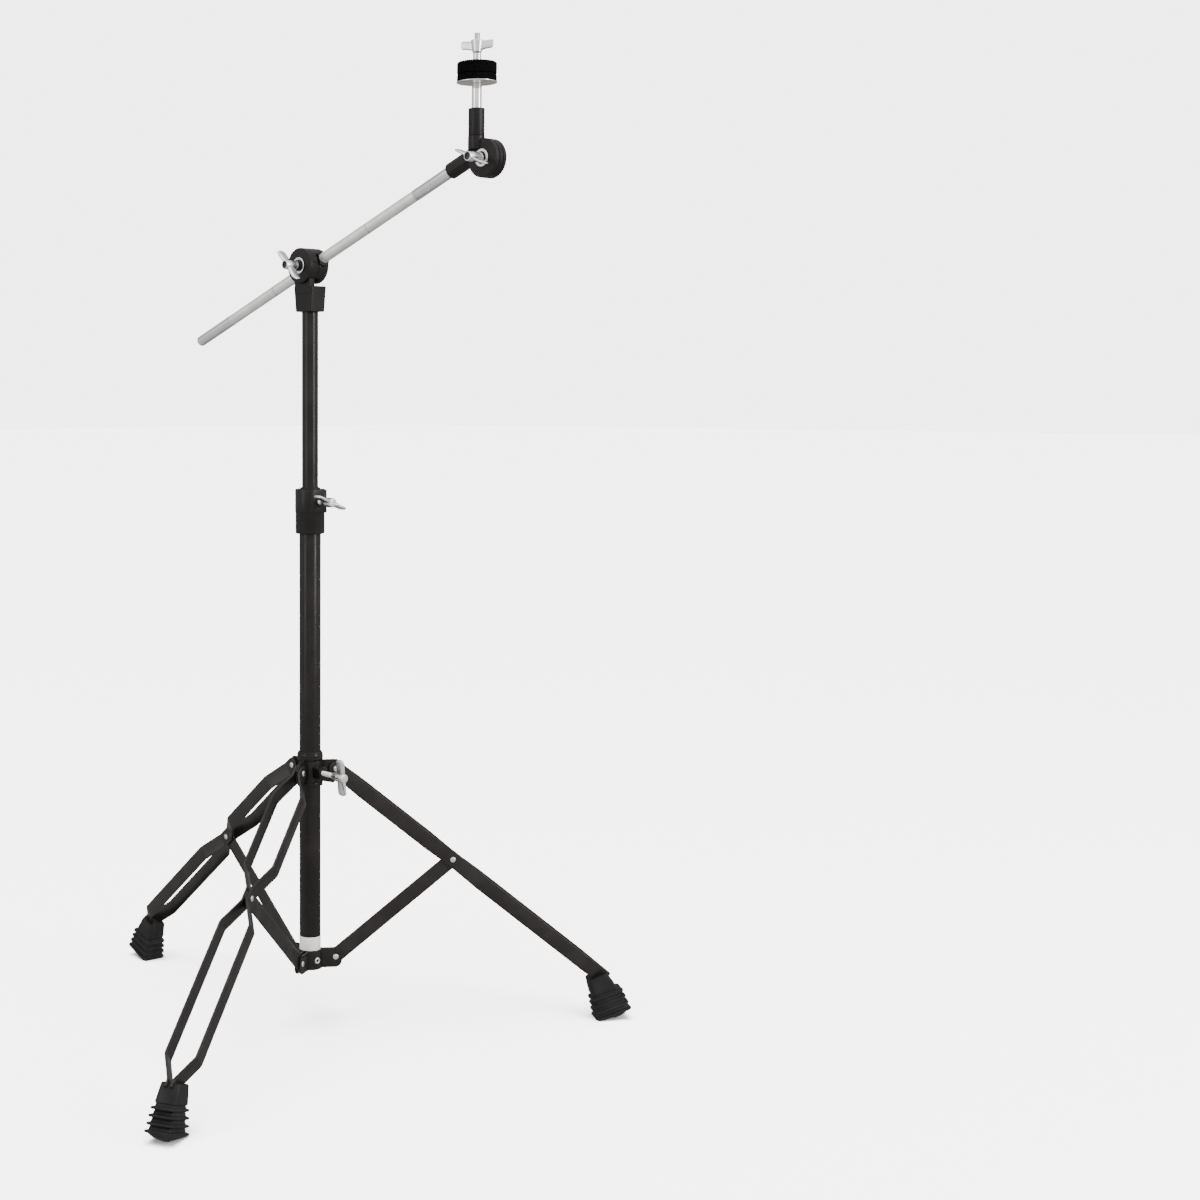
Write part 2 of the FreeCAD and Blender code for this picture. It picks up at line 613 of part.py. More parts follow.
eye_pocket = face_disc("dims.eye_pocket_dia / 2", -size("disc_joint") - size("eye_pocket_deep"),
                       -size("disc_joint") + 1, 0, TILT_HIGH)
node(cut(base_blank, base_bore, bolt_way, roll_pin_bar(THROUGH), eye_pocket), "tilter_base")

# A roll pin ties the casting to the tube.
node(roll_pin_bar(size("roll_pin_length")), "tilter_base_pin")
upper = [obj for obj in NODES if obj.Label == "upper_tube"][0]
NODES.remove(upper)
upper.Label = "upper_tube_undrilled"
node(cut(upper, roll_pin_bar(THROUGH)), "upper_tube")

ARM_PLANE = size("arm_plane")
RISE = math.radians(size("arm_rise"))


def arm_frame(along=0.0, over=0.0, aside=0.0):
    """Frame on the boom arm: Z runs up the arm from the tilt centre, X is over it."""
    spin = FreeCAD.Rotation(vec(0, 1, 0), 90 - size("arm_rise"))
    origin = vec(0, ARM_PLANE, TILT_HIGH)
    return FreeCAD.Placement(origin + spin.multVec(vec(-over, aside, along)), spin)


def arm_bar(radius, start, end):
    bar = doc.addObject("Part::Cylinder", "ArmBar")
    bar.setExpression("Radius", radius)
    bar.Height = end - start
    bar.Placement = arm_frame(start)
    return bar


def arm_block(along, over_low, over_high, y_low, y_high):
    """A block square to the arm: half length along it, a span over it, a span across Y."""
    block = doc.addObject("Part::Box", "ArmBlock")
    block.Length = over_high - over_low
    block.Width = y_high - y_low
    block.Height = 2 * along
    spot = arm_frame(-along, over_high, y_low - ARM_PLANE)
    block.Placement = spot
    return block


EYE_HALF = size("eye_half")
EYE_ROOM = size("arm_dia") / 2 + size("eye_wall") + size("eye_gap")
back = size("clamp_back")
clamp_front = -size("disc_joint") + size("face_gap")
clamp_disc = face_disc("dims.disc_dia / 2", clamp_front, back, 0, TILT_HIGH)
eye_room = arm_block(EYE_HALF + 0.2, -EYE_ROOM, EYE_ROOM, clamp_front - 1, back - 0.6)
arm_way = arm_bar("dims.arm_dia / 2 + dims.run_fit", -THROUGH, THROUGH)
mouth = size("mouth_start")
mouths = [arm_bar("dims.arm_dia / 2 + dims.mouth_flare", start, start + THROUGH)
          for start in (mouth, -mouth - THROUGH)]
shank_way = face_disc("dims.tilter_bolt_dia / 2 + dims.run_fit", -30, 1, 0, TILT_HIGH)
node(cut(clamp_disc, eye_room, arm_way, shank_way, *mouths), "tilter_clamp")

eye = arm_bar("dims.arm_dia / 2 + dims.eye_wall", -EYE_HALF, EYE_HALF)
eye_hole = arm_bar("dims.arm_dia / 2 + dims.run_fit", -30, 30)
HUB_REACH = size("hub_reach")
shank = face_disc("dims.tilter_bolt_dia / 2", -size("disc_front") - HUB_REACH + size("hub_hollow"),
                  ARM_PLANE - size("arm_dia") / 2 - 1, 0, TILT_HIGH)
node(cut(fuse(eye, shank), eye_hole), "tilter_eye_bolt")

washer_blank = face_disc("dims.washer_dia / 2", -size("disc_front") - size("washer_thick"),
                         -size("disc_front"), 0, TILT_HIGH)
washer_hole = face_disc("dims.tilter_bolt_dia / 2 + dims.washer_gap", -THROUGH, 0, 0, TILT_HIGH)
node(cut(washer_blank, washer_hole), "tilter_washer")

# ---------------------------------------------------------------- wing fasteners


def wing_piece(inner_root, inner_tip, outer_tip, outer_root, span, thickness="dims.wing_thick"):
    """Two wings in one plate, drawn across X with Y along the fastener's axis."""
    tip = (outer_tip - inner_tip) * 0.45
    root = 6.0
    outline = rounded_outline(
        [(-span, inner_tip), (0, inner_root), (span, inner_tip), (span, outer_tip), (0, outer_root),
         (-span, outer_tip)], [tip, root, tip, tip, root, tip])
    return plate(outline, thickness, FreeCAD.Placement(vec(0, 0, 0), FreeCAD.Rotation(vec(1, 0, 0), 90)))


def aim(obj, origin, axis, roll):
    """Points a fastener's own +Z along an axis, rolled about it."""
    point = FreeCAD.Rotation(vec(0, 0, 1), vec(*axis))
    obj.Placement = FreeCAD.Placement(vec(*origin), point * FreeCAD.Rotation(vec(0, 0, 1), roll))
    return obj


def wing_nut(reach, bore):
    """A wing nut of the tilters: a cone-shaped hub with a plain bore, foot at z = 0."""
    hub = turned([(0, 0), (5.2, 0), (5.2, 4.0), (5.8, reach - 6), (5.0, reach), (0, reach)])
    wings = wing_piece(7.5, 9.5, reach - 1.0, reach - 0.5, size("wing_span"))
    hole = cylinder(bore, "%f" % THROUGH, z="-5")
    return cut(fuse(hub, wings), hole)


def wing_bolt(start, wing_low, wing_high, end):
    """A wing bolt: shank from start, hub and wings around its outer end."""
    shank_bar = cylinder("dims.bolt_dia / 2", "%f" % (wing_high - start), z="%f" % start)
    hub = turned([(0, wing_low - 6), (4.2, wing_low - 6), (5.9, wing_low + 2), (5.6, end - 1), (4.8, end),
                  (0, end)])
    wings = wing_piece(wing_low - 1, wing_low, wing_high - 1, wing_high, size("wing_span") - 1)
    return fuse(shank_bar, hub, wings)


washer_face = size("disc_front") + size("washer_thick")
NUT_REACH = HUB_REACH - size("washer_thick")
node(aim(wing_nut(NUT_REACH, "dims.tilter_bolt_dia / 2 + dims.run_fit"), (0, -washer_face, TILT_HIGH),
         (0, -1, 0), size("lower_nut_roll")), "tilter_wing_nut")

bolt_way_out = (math.cos(math.radians(CLAMP_HEADING)), math.sin(math.radians(CLAMP_HEADING)), 0)
bush_skin = size("base_dia") / 2 - size("base_wall") + size("face_gap")
height_wing = wing_bolt(bush_skin, size("height_wing_low"), size("height_wing_high"), size("height_hub_end"))
node(aim(height_wing, (0, 0, size("clamp_bolt_high")), bolt_way_out, size("height_bolt_roll")),
     "height_wing_bolt")
collar_skin = size("base_dia") / 2 + size("face_gap")
collar_wing = wing_bolt(collar_skin, size("collar_wing_low"), size("collar_wing_high"),
                        size("collar_hub_end"))
node(aim(collar_wing, (0, 0, COLLAR_BOLT_HIGH), bolt_way_out, 0), "collar_wing_bolt")

# ---------------------------------------------------------------- boom arm
rod = doc.addObject("PartDesign::Body", "ArmBody")
rod_planes = {feature.Role: feature for feature in rod.Origin.OriginFeatures}


def rod_stretch(name, radius_cell, start_cell, length_cells):
    """Pads one stretch of the boom rod along its own Z."""
    profile = rod.newObject("Sketcher::SketchObject", name + "Profile")
    profile.AttachmentSupport = [(rod_planes["XY_Plane"], "")]
    profile.MapMode = "FlatFace"
    profile.setExpression("AttachmentOffset.Base.z", start_cell)
    profile.addGeometry(Part.Circle(vec(0, 0, 0), vec(0, 0, 1), size("arm_dia") / 2), False)
    profile.addConstraint(Sketcher.Constraint("Coincident", 0, 3, -1, 1))
    profile.addConstraint(Sketcher.Constraint("Radius", 0, size("arm_dia") / 2))
    profile.setExpression("Constraints[1]", radius_cell)
    pad = rod.newObject("PartDesign::Pad", name + "Pad")
    pad.Profile = profile
    pad.setExpression("Length", length_cells)
    doc.recompute()
    return pad


rod_stretch("Tail", "dims.arm_dia / 2", "-dims.arm_tail", "dims.arm_tail - dims.knurl_tail")
rod_stretch("Knurl", "dims.knurl_dia / 2", "-dims.knurl_tail", "dims.knurl_tail + dims.knurl_root")
rod_pad = rod_stretch("Root", "dims.arm_dia / 2", "dims.knurl_root", "dims.arm_root - dims.knurl_root")
end_levels = (-size("arm_tail"), size("arm_root"))
rod_ends = rod.newObject("PartDesign::Chamfer", "RodEnds")
rod_ends.Base = (rod_pad, ["Edge%d" % (index + 1) for index, edge in enumerate(rod_pad.Shape.Edges)
                           if len(edge.Vertexes) == 1
                           and min(abs(edge.Vertexes[0].Z - level) for level in end_levels) < 1e-6])
rod_ends.Size = 1.2
rod.Tip = rod_ends
rod.Placement = arm_frame(0)
node(rod, "boom_arm")

# ---------------------------------------------------------------- arm's top end
TOP_X, TOP_HIGH = size("top_x"), size("top_high")
top_joint, top_back, top_front = -size("top_joint"), size("top_back"), -size("top_front")
arm_disc = face_disc("dims.disc_dia / 2", top_joint + size("face_gap"), top_back, TOP_X, TOP_HIGH)
arm_socket = arm_bar("dims.arm_socket_dia / 2", size("arm_socket_start"), size("arm_socket_end"))


def joint_trim(y_low):
    """A block across the top tilter that starts at a Y plane and runs well past the castings."""
    trim = doc.addObject("Part::Box", "JointTrim")
    trim.Length = 4 * THROUGH
    trim.Width = 2 * THROUGH
    trim.Height = 4 * THROUGH
    return place(trim, x=TOP_X - 2 * THROUGH, y=y_low, z=TOP_HIGH - 2 * THROUGH)


ahead = joint_trim(top_joint + size("face_gap") - 2 * THROUGH)
rod_way = arm_bar("dims.arm_dia / 2 + dims.run_fit", size("arm_socket_start") - 10,
                  size("arm_root") + size("face_gap"))
top_bolt_way = face_disc("dims.tilter_bolt_dia / 2", -THROUGH, THROUGH, TOP_X, TOP_HIGH)
node(cut(fuse(arm_disc, arm_socket), ahead, rod_way, top_bolt_way), "arm_end_casting")

# ---------------------------------------------------------------- post casting, sleeve and rod
POST_X, POST_PLANE = size("post_x"), -size("post_plane")


def post_bar(radius, foot, head):
    bar = doc.addObject("Part::Cylinder", "PostBar")
    bar.setExpression("Radius", radius)
    bar.setExpression("Height", "(%s) - (%s)" % (head, foot))
    bar.setExpression("Placement.Base.x", "dims.post_x")
    bar.setExpression("Placement.Base.y", "-dims.post_plane")
    bar.setExpression("Placement.Base.z", foot)
    return bar


post_disc = face_disc("dims.disc_dia / 2", top_front, top_joint, TOP_X, TOP_HIGH)
post_boss = post_bar("dims.post_boss_dia / 2", "dims.post_boss_foot", "dims.post_boss_head")
boss_web = box("18", "dims.top_front - dims.top_joint", "30", x="dims.post_x - 8.6", y="-dims.top_front",
               z="dims.post_boss_foot - 18")
behind = joint_trim(top_joint)
post_seat = "dims.post_boss_foot + dims.post_socket_floor"
post_rod_way = post_bar("dims.post_rod_dia / 2", post_seat, "dims.stud_head")
post_bolt_way = face_disc("dims.tilter_bolt_dia / 2 + dims.run_fit", -THROUGH, THROUGH, TOP_X, TOP_HIGH)
node(cut(fuse(post_disc, post_boss, boss_web), behind, post_rod_way, post_bolt_way), "post_casting")

sleeve_bar = post_bar("dims.post_sleeve_dia / 2", "dims.post_boss_head", "dims.post_sleeve_head")
sleeve_bore = post_bar("dims.post_rod_dia / 2", "dims.post_boss_head", "dims.post_sleeve_head")
node(cut(sleeve_bar, sleeve_bore), "post_sleeve")

rod_bar = post_bar("dims.post_rod_dia / 2", post_seat, "dims.post_shoulder")
stud_bar = post_bar("dims.stud_dia / 2", "dims.post_shoulder - 4", "dims.stud_head")
node(fuse(rod_bar, stud_bar), "post_rod")

# Bolt through the top tilter: a low round head behind, the wing nut in front.
top_shank = face_disc("dims.tilter_bolt_dia / 2", top_front - HUB_REACH + size("hub_hollow"), top_back + 1,
                      TOP_X, TOP_HIGH)
top_head = face_disc("dims.bolt_head_dia / 2", top_back, top_back + size("bolt_head_high"), TOP_X, TOP_HIGH)
node(fuse(top_shank, top_head), "top_tilter_bolt")
top_washer = face_disc("dims.washer_dia / 2", top_front - size("washer_thick"), top_front, TOP_X, TOP_HIGH)
top_washer_hole = face_disc("dims.tilter_bolt_dia / 2 + dims.washer_gap", -THROUGH, 0, TOP_X, TOP_HIGH)
node(cut(top_washer, top_washer_hole), "top_tilter_washer")
node(aim(wing_nut(NUT_REACH, "dims.tilter_bolt_dia / 2 + dims.run_fit"),
         (TOP_X, top_front - size("washer_thick"), TOP_HIGH), (0, -1, 0), size("top_nut_roll")),
     "top_wing_nut")

# ---------------------------------------------------------------- cup washer, felts and nut


def on_post(body, high):
    body.Placement = FreeCAD.Placement(vec(POST_X, POST_PLANE, high), FreeCAD.Rotation())
    return body


CUP_HIGH = size("post_shoulder")
cup = size("cup_thick")
cup_radius, stud_hole = size("cup_dia") / 2, size("stud_dia") / 2 + 0.15
node(on_post(turned([(stud_hole, 0), (cup_radius, 0, 0.4), (cup_radius, cup, 0.4), (stud_hole, cup)]),
             CUP_HIGH), "cup_washer")
felt_radius, felt_hole = size("felt_dia") / 2, size("felt_bore") / 2
lower_thick, upper_thick = size("lower_felt_thick"), size("upper_felt_thick")
felt_foot = CUP_HIGH + cup
node(on_post(turned([(stud_hole, 0), (felt_radius, 0, 1.2), (felt_radius, lower_thick, 1.2),
                     (stud_hole, lower_thick)]), felt_foot), "lower_felt")
node(on_post(turned([(felt_hole, 0), (felt_radius, 0, 1.2), (felt_radius, upper_thick, 2.5),
                     (felt_hole, upper_thick)]), felt_foot + lower_thick), "upper_felt")

neck_foot = felt_foot + lower_thick + 1.0
nut_foot = felt_foot + lower_thick + upper_thick + 10.5
nut_hub = turned([(0, neck_foot), (4.1, neck_foot), (4.1, nut_foot - 1.5), (5.0, nut_foot),
                  (6.6, nut_foot + 12.2), (0, nut_foot + 12.2)])
nut_wings = wing_piece(nut_foot + 1, nut_foot + 2.5, nut_foot + 11.0, nut_foot + 12, size("small_wing_span"),
                       "dims.small_wing_thick")
nut_bore = cylinder("dims.stud_dia / 2 + dims.run_fit", "%f" % THROUGH, z="dims.post_shoulder")
cymbal_nut = cut(fuse(nut_hub, nut_wings), nut_bore)
place(cymbal_nut, x=POST_X, y=POST_PLANE, angle=size("cymbal_nut_turn"))
node(cymbal_nut, "cymbal_wing_nut")

# ---------------------------------------------------------------- check and write
doc.recompute()
for obj in doc.Objects:
    if "Invalid" in obj.State or "Error" in obj.State:
        raise RuntimeError("%s (%s) is %s" % (obj.Name, obj.Label, obj.State))
for obj in NODES:
    if obj.Shape.isNull() or not obj.Shape.isValid():
        raise RuntimeError("%s has a null or invalid shape" % obj.Label)

os.makedirs("parts", exist_ok=True)
for obj in NODES:
    obj.Shape.exportStep("parts/%s.step" % obj.Label)
    extent = obj.Shape.BoundBox
    print("%-24s solids %d volume %9.1f  x %7.1f %7.1f  y %7.1f %7.1f  z %7.1f %7.1f" % (
        obj.Label, len(obj.Shape.Solids), obj.Shape.Volume, extent.XMin, extent.XMax,
        extent.YMin, extent.YMax, extent.ZMin, extent.ZMax))
print("%d sub-parts" % len(NODES))
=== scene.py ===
import json
import math
import bpy
from mathutils import Matrix, Vector, noise


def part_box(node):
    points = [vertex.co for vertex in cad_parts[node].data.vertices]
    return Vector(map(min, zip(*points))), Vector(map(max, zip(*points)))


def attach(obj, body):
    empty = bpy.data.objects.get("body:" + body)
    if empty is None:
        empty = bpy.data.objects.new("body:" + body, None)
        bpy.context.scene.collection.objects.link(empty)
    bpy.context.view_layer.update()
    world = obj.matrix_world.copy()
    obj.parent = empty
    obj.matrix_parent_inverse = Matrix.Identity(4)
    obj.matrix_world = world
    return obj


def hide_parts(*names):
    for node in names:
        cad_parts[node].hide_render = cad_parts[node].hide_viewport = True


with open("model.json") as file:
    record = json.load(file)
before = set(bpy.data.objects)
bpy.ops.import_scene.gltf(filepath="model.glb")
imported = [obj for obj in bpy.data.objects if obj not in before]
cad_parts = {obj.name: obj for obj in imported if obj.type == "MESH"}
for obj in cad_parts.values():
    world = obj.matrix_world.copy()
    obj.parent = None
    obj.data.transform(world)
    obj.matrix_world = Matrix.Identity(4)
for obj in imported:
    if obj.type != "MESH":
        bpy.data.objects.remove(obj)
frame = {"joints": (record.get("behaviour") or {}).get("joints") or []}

# Cymbal boom stand. Shapes are worked out in millimetres and stored in metres.
MM = 0.001
NO_EDGE = 0.0
THIRD_TURN = math.radians(120)
RUN_FIT = 0.05  # radial gap of a sliding or turning fit
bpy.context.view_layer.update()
JOINT = {joint["name"]: joint for joint in frame["joints"]}
LEGS = "cab"


def joint_place(name):
    return Vector(JOINT[name]["pos_m"]) / MM


def joint_axis(name):
    return Vector(JOINT[name]["axis"]).normalized()


def low(node):
    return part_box(node)[0] / MM


def high(node):
    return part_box(node)[1] / MM


def heading_of(name):
    """Row angle of a leg whose fold axis is the given joint's."""
    axis = joint_axis(name)
    return math.atan2(axis.x, -axis.y)


FOLD = {"c": "leg_fold", "a": "brace_a_fold", "b": "brace_b_fold"}
HEADING = {leg: heading_of(FOLD[leg]) for leg in LEGS}
TUBE_R = high("base_tube").x
UPPER_R = high("upper_tube").x
PIVOT_R = joint_place("leg_fold").to_2d().length
BRACE_Z = joint_place("leg_fold").z
MID_R = joint_place("leg_c_pivot").to_2d().length
MID_Z = joint_place("leg_c_pivot").z
TOP_Z = joint_place("collar_pivot").z
LINK = math.hypot(MID_R - PIVOT_R, MID_Z - BRACE_Z)
DIP = math.atan2(TOP_Z - MID_Z, MID_R - PIVOT_R)
BOLT_AXIS = joint_axis("height_bolt_turn")
BOLT_HEADING = math.atan2(BOLT_AXIS.y, BOLT_AXIS.x)
TILT = joint_place("boom_tilt")
ARM_AXIS = joint_axis("boom_slide")
ARM_RISE = math.atan2(ARM_AXIS.z, ARM_AXIS.x)
ARM_R = (high("boom_arm").y - low("boom_arm").y) / 2
ARM_PLANE = (high("boom_arm").y + low("boom_arm").y) / 2
ARM_TAIL = (low("boom_arm").x - ARM_R * math.sin(ARM_RISE)) / ARM_AXIS.x
TOP = joint_place("top_tilt")
POST = joint_place("cymbal_nut_spin")

# ---- mesh building


def turn_z(angle):
    return Matrix.Rotation(angle, 4, "Z")


def shift(x, y, z):
    return Matrix.Translation((x, y, z))


def aimed(origin, axis, roll=0.0):
    """Frame whose Z points along an axis, rolled about it."""
    point = Vector((0, 0, 1)).rotation_difference(Vector(axis)).to_matrix().to_4x4()
    return shift(*origin) @ point @ turn_z(roll)


def leg_frame(leg):
    return turn_z(HEADING[leg])


def make(verts, faces, matrix=None):
    """A loose object from points in millimetres."""
    matrix = matrix or Matrix.Identity(4)
    mesh = bpy.data.meshes.new("mesh")
    mesh.from_pydata([(matrix @ Vector(v)) * MM for v in verts], [], faces)
    mesh.update()
    obj = bpy.data.objects.new("loose", mesh)
    bpy.context.scene.collection.objects.link(obj)
    return obj


def rings_to_faces(count, around, closed_ends=True):
    faces = []
    for ring in range(count - 1):
        for i in range(around):
            j = (i + 1) % around
            faces.append((ring * around + i, ring * around + j, (ring + 1) * around + j,
                          (ring + 1) * around + i))
    if closed_ends:
        faces.append(tuple(reversed(range(around))))
        faces.append(tuple((count - 1) * around + i for i in range(around)))
    return faces


def fillet(points, radii, steps=5, closed=True):
    """Rounds the corners of a flat outline with arcs."""
    count = len(points)
    result = []
    for i, (point, radius) in enumerate(zip(points, radii)):
        here = Vector(point)
        if radius <= 0 or (not closed and i in (0, count - 1)):
            result.append(here)
            continue
        before = (Vector(points[i - 1]) - here)
        after = (Vector(points[(i + 1) % count]) - here)
        before.normalize()
        after.normalize()
        half = before.angle(after) / 2
        if half > math.pi / 2 - 0.02:
            result.append(here)
            continue
        centre = here + (before + after).normalized() * (radius / math.sin(half))
        start = here + before * (radius / math.tan(half)) - centre
        end = here + after * (radius / math.tan(half)) - centre
        sweep = start.angle_signed(end)
        for step in range(steps + 1):
            turn = -sweep * step / steps
            result.append(centre + Vector((start.x * math.cos(turn) - start.y * math.sin(turn),
                                           start.x * math.sin(turn) + start.y * math.cos(turn))))
    return result


def lathe(profile, matrix=None, segments=64, radii=None, steps=3):
    """A turned solid about Z from a closed outline of (radius, height) points."""
    if radii is not None:
        if not hasattr(radii, "__len__"):
            radii = [radii if point[0] > 1e-6 else 0 for point in profile]
        profile = fillet(profile, radii, steps)
    profile = [(max(radius, 0.0), height) for radius, height in profile]
    verts, faces, rows = [], [], []
    for radius, height in profile:
        if radius < 1e-6:
            rows.append([len(verts)] * segments)
            verts.append((0, 0, height))
            continue
        rows.append(list(range(len(verts), len(verts) + segments)))
        for i in range(segments):
            angle = 2 * math.pi * i / segments
            verts.append((radius * math.cos(angle), radius * math.sin(angle), height))
    for index, row in enumerate(rows):
        after = rows[(index + 1) % len(rows)]
        for i in range(segments):
            j = (i + 1) % segments
            corners = []
            for corner in (row[i], row[j], after[j], after[i]):
                if corner not in corners:
                    corners.append(corner)
            if len(corners) > 2:
                faces.append(corners)
    return make(verts, faces, matrix)


def tube(outer, inner, foot, head, matrix=None, segments=96, edge=0.35):
    return lathe([(inner, foot), (outer, foot), (outer, head), (inner, head)], matrix, segments, edge)


def rod(radius, foot, head, matrix=None, segments=64, edge=0.0):
    return lathe([(0, foot), (radius, foot), (radius, head), (0, head)], matrix, segments,
                 [0, edge, edge, 0] if edge else None)


def prism(outline, foot, head, matrix=None, edge=0.0):
    """A flat-ended solid with the given outline in XY, its rims eased by a small round."""
    levels = [(foot, 0.0), (head, 0.0)]
    if edge > 0:
        rounds = [0.0, 0.3, 1.0]
        insets = [(edge * (1 - math.sqrt(1 - (1 - k) ** 2)), edge * (1 - k)) for k in rounds]
        levels = [(foot + rise, inset) for rise, inset in insets]
        levels += [(head - rise, inset) for rise, inset in reversed(insets)]
    verts = []
    for level, inset in levels:
        for point in inset_outline(outline, inset):
            verts.append((point[0], point[1], level))
    return make(verts, rings_to_faces(len(levels), len(outline)), matrix)


def inset_outline(outline, inset):
    if inset == 0:
        return outline
    count = len(outline)
    area = sum(outline[i - 1][0] * outline[i][1] - outline[i][0] * outline[i - 1][1] for i in range(count))
    way = 1 if area > 0 else -1
    moved = []
    for i in range(count):
        along = (Vector(outline[(i + 1) % count]) - Vector(outline[i - 1])).normalized()
        moved.append(Vector(outline[i]) + Vector((-along.y, along.x)) * inset * way)
    return moved


def rectangle(half_x, half_y, corner, cx=0.0, cy=0.0, steps=4):
    corners = [(cx - half_x, cy - half_y), (cx + half_x, cy - half_y), (cx + half_x, cy + half_y),
               (cx - half_x, cy + half_y)]
    return fillet(corners, [corner] * 4, steps)


def loft(sections, matrix=None):
    """A solid through outlines of equal length, each given as (outline, level)."""
    verts = [(p[0], p[1], level) for outline, level in sections for p in outline]
    return make(verts, rings_to_faces(len(sections), len(sections[0][0])), matrix)


def strip(path, thickness, foot, head, matrix=None, tip=0.0, tips=(True, True), edge=0.5):
    """A bent flat bar: its middle line lies in XY and its width runs from foot to head along Z.
    tip rounds the outer corners of its ends."""
    lengths = [0.0]
    for before, after in zip(path, path[1:]):
        lengths.append(lengths[-1] + (Vector(after) - Vector(before)).length)
    total = lengths[-1]
    stations = set(lengths)
    steps = 10
    for at_start in (True, False):
        if tips[0 if at_start else 1] and tip > 0:
            for step in range(steps + 1):
                reach = tip * (1 - math.cos(math.pi / 2 * step / steps))
                stations.add(reach if at_start else total - reach)
    stations = sorted(stations)
    kept = [stations[0]]
    for station in stations[1:]:
        if station - kept[-1] > 1e-4:
            kept.append(station)

    middle, half = (foot + head) / 2, (head - foot) / 2

    def frame_at(station):
        index = 0
        while index < len(lengths) - 2 and lengths[index + 1] < station - 1e-6:
            index += 1
        start, end = Vector(path[index]), Vector(path[index + 1])
        share = (station - lengths[index]) / max(lengths[index + 1] - lengths[index], 1e-9)
        spot = start.lerp(end, min(max(share, 0), 1))
        runs = [(end - start).normalized()]
        if share > 1 - 1e-4 and index + 2 < len(path):
            runs.append((Vector(path[index + 2]) - end).normalized())
        if share < 1e-4 and index > 0:
            runs.append((start - Vector(path[index - 1])).normalized())
        run = sum(runs, Vector((0, 0))).normalized()
        widen = 1 / max(run.dot(runs[0]), 0.3)
        return spot, Vector((-run.y, run.x)) * widen

    verts = []
    around = 0
    for station in kept:
        spot, normal = frame_at(station)
        height = half
        for is_start in (True, False):
            reach = station if is_start else total - station
            if tips[0 if is_start else 1] and reach < tip:
                height = min(height, half - tip + math.sqrt(max(tip ** 2 - (tip - reach) ** 2, 0)))
        height = max(height, 0.05)
        corner = min(edge, height * 0.9, thickness * 0.45)
        section = rectangle(thickness / 2, height, corner, steps=3)
        around = len(section)
        for across, up in section:
            verts.append((spot.x + normal.x * across, spot.y + normal.y * across, middle + up))
    return make(verts, rings_to_faces(len(kept), around), matrix)


def arc_plate(inner, outer, centre_angle, half_angle, foot, head, matrix=None):
    """A curved plate that wraps part of the tube."""
    mid = (inner + outer) / 2
    steps = max(4, int(math.degrees(half_angle) / 3))
    path = []
    for step in range(steps + 1):
        angle = centre_angle - half_angle + 2 * half_angle * step / steps
        path.append((mid * math.cos(angle), mid * math.sin(angle)))
    return strip(path, outer - inner, foot, head, matrix)


def thread(radius, pitch, foot, head, matrix=None, depth=0.45, segments=48):
    """A threaded shank: its skin rises and falls along a helix."""
    rows = int((head - foot) / pitch * 8)
    verts = []
    for row in range(rows + 1):
        level = foot + (head - foot) * row / rows
        fade = min(1.0, (head - level) / pitch, (level - foot) / pitch + 0.2)
        for i in range(segments):
            phase = (level / pitch - i / segments) % 1.0
            groove = 1 - abs(2 * phase - 1)
            reach = radius - depth * (1 - groove) * fade - (1 - fade) * 0.3
            angle = 2 * math.pi * i / segments
            verts.append((reach * math.cos(angle), reach * math.sin(angle), level))
    return make(verts, rings_to_faces(rows + 1, segments), matrix)


def wings(span, root, tip, tall, thick, matrix=None, waist=0.62, blunt=0.74):
    """Both wings of a fastener in one sculpted form: X is along them, Z along the fastener."""
    samples, around = 56, 28
    verts = []
    for step in range(samples + 1):
        share = -math.cos(math.pi * step / samples)
        t = abs(share)
        rise = min(t / 0.6, 1.0)
        rise = rise * rise * (3 - 2 * rise)
        half = tall / 2 * (waist + (1 - waist) * rise)
        skin = thick / 2 * (1.3 - 0.5 * t)
        if t > blunt:
            close = math.sqrt(max(1 - ((t - blunt) / (1 - blunt)) ** 2.4, 0.0))
            half *= max(close, 0.02)
            skin *= max(close ** 0.6, 0.05)
        middle = root + (tip - root) * t
        for i in range(around):
            angle = 2 * math.pi * i / around
            c, s = math.cos(angle), math.sin(angle)
            across = math.copysign(abs(c) ** 0.7, c) * skin
            along = math.copysign(abs(s) ** 0.75, s) * half
            verts.append((span * share, across, middle + along))
    return make(verts, rings_to_faces(samples + 1, around), matrix)


def applied(obj):
    graph = bpy.context.evaluated_depsgraph_get()
    mesh = bpy.data.meshes.new_from_object(obj.evaluated_get(graph))
    obj.modifiers.clear()
    obj.data = mesh
    return obj


def drop(*objs):
    for obj in objs:
        bpy.data.objects.remove(obj)


def boolean(base, operation, *tools):
    for tool in tools:
        step = base.modifiers.new("step", "BOOLEAN")
        step.operation = operation
        step.solver = "EXACT"
        step.object = tool
    applied(base)
    drop(*tools)
    return base


def union(base, *tools):
    return boolean(base, "UNION", *tools)


def cut(base, *tools):
    return boolean(base, "DIFFERENCE", *tools)


def eased(obj, width, segments=2, angle=35):
    """Rounds the sharp edges of a solid."""
    step = obj.modifiers.new("ease", "BEVEL")
    step.width = width * MM
    step.segments = segments
    step.limit_method = "ANGLE"
    step.angle_limit = math.radians(angle)
    return applied(obj)


def joined(objs):
    """Several loose solids as one object."""
    verts, faces = [], []
    for obj in objs:
        start = len(verts)
        verts += [Vector(v.co) / MM for v in obj.data.vertices]
        faces += [[start + i for i in face.vertices] for face in obj.data.polygons]
    drop(*objs)
    return make(verts, faces)


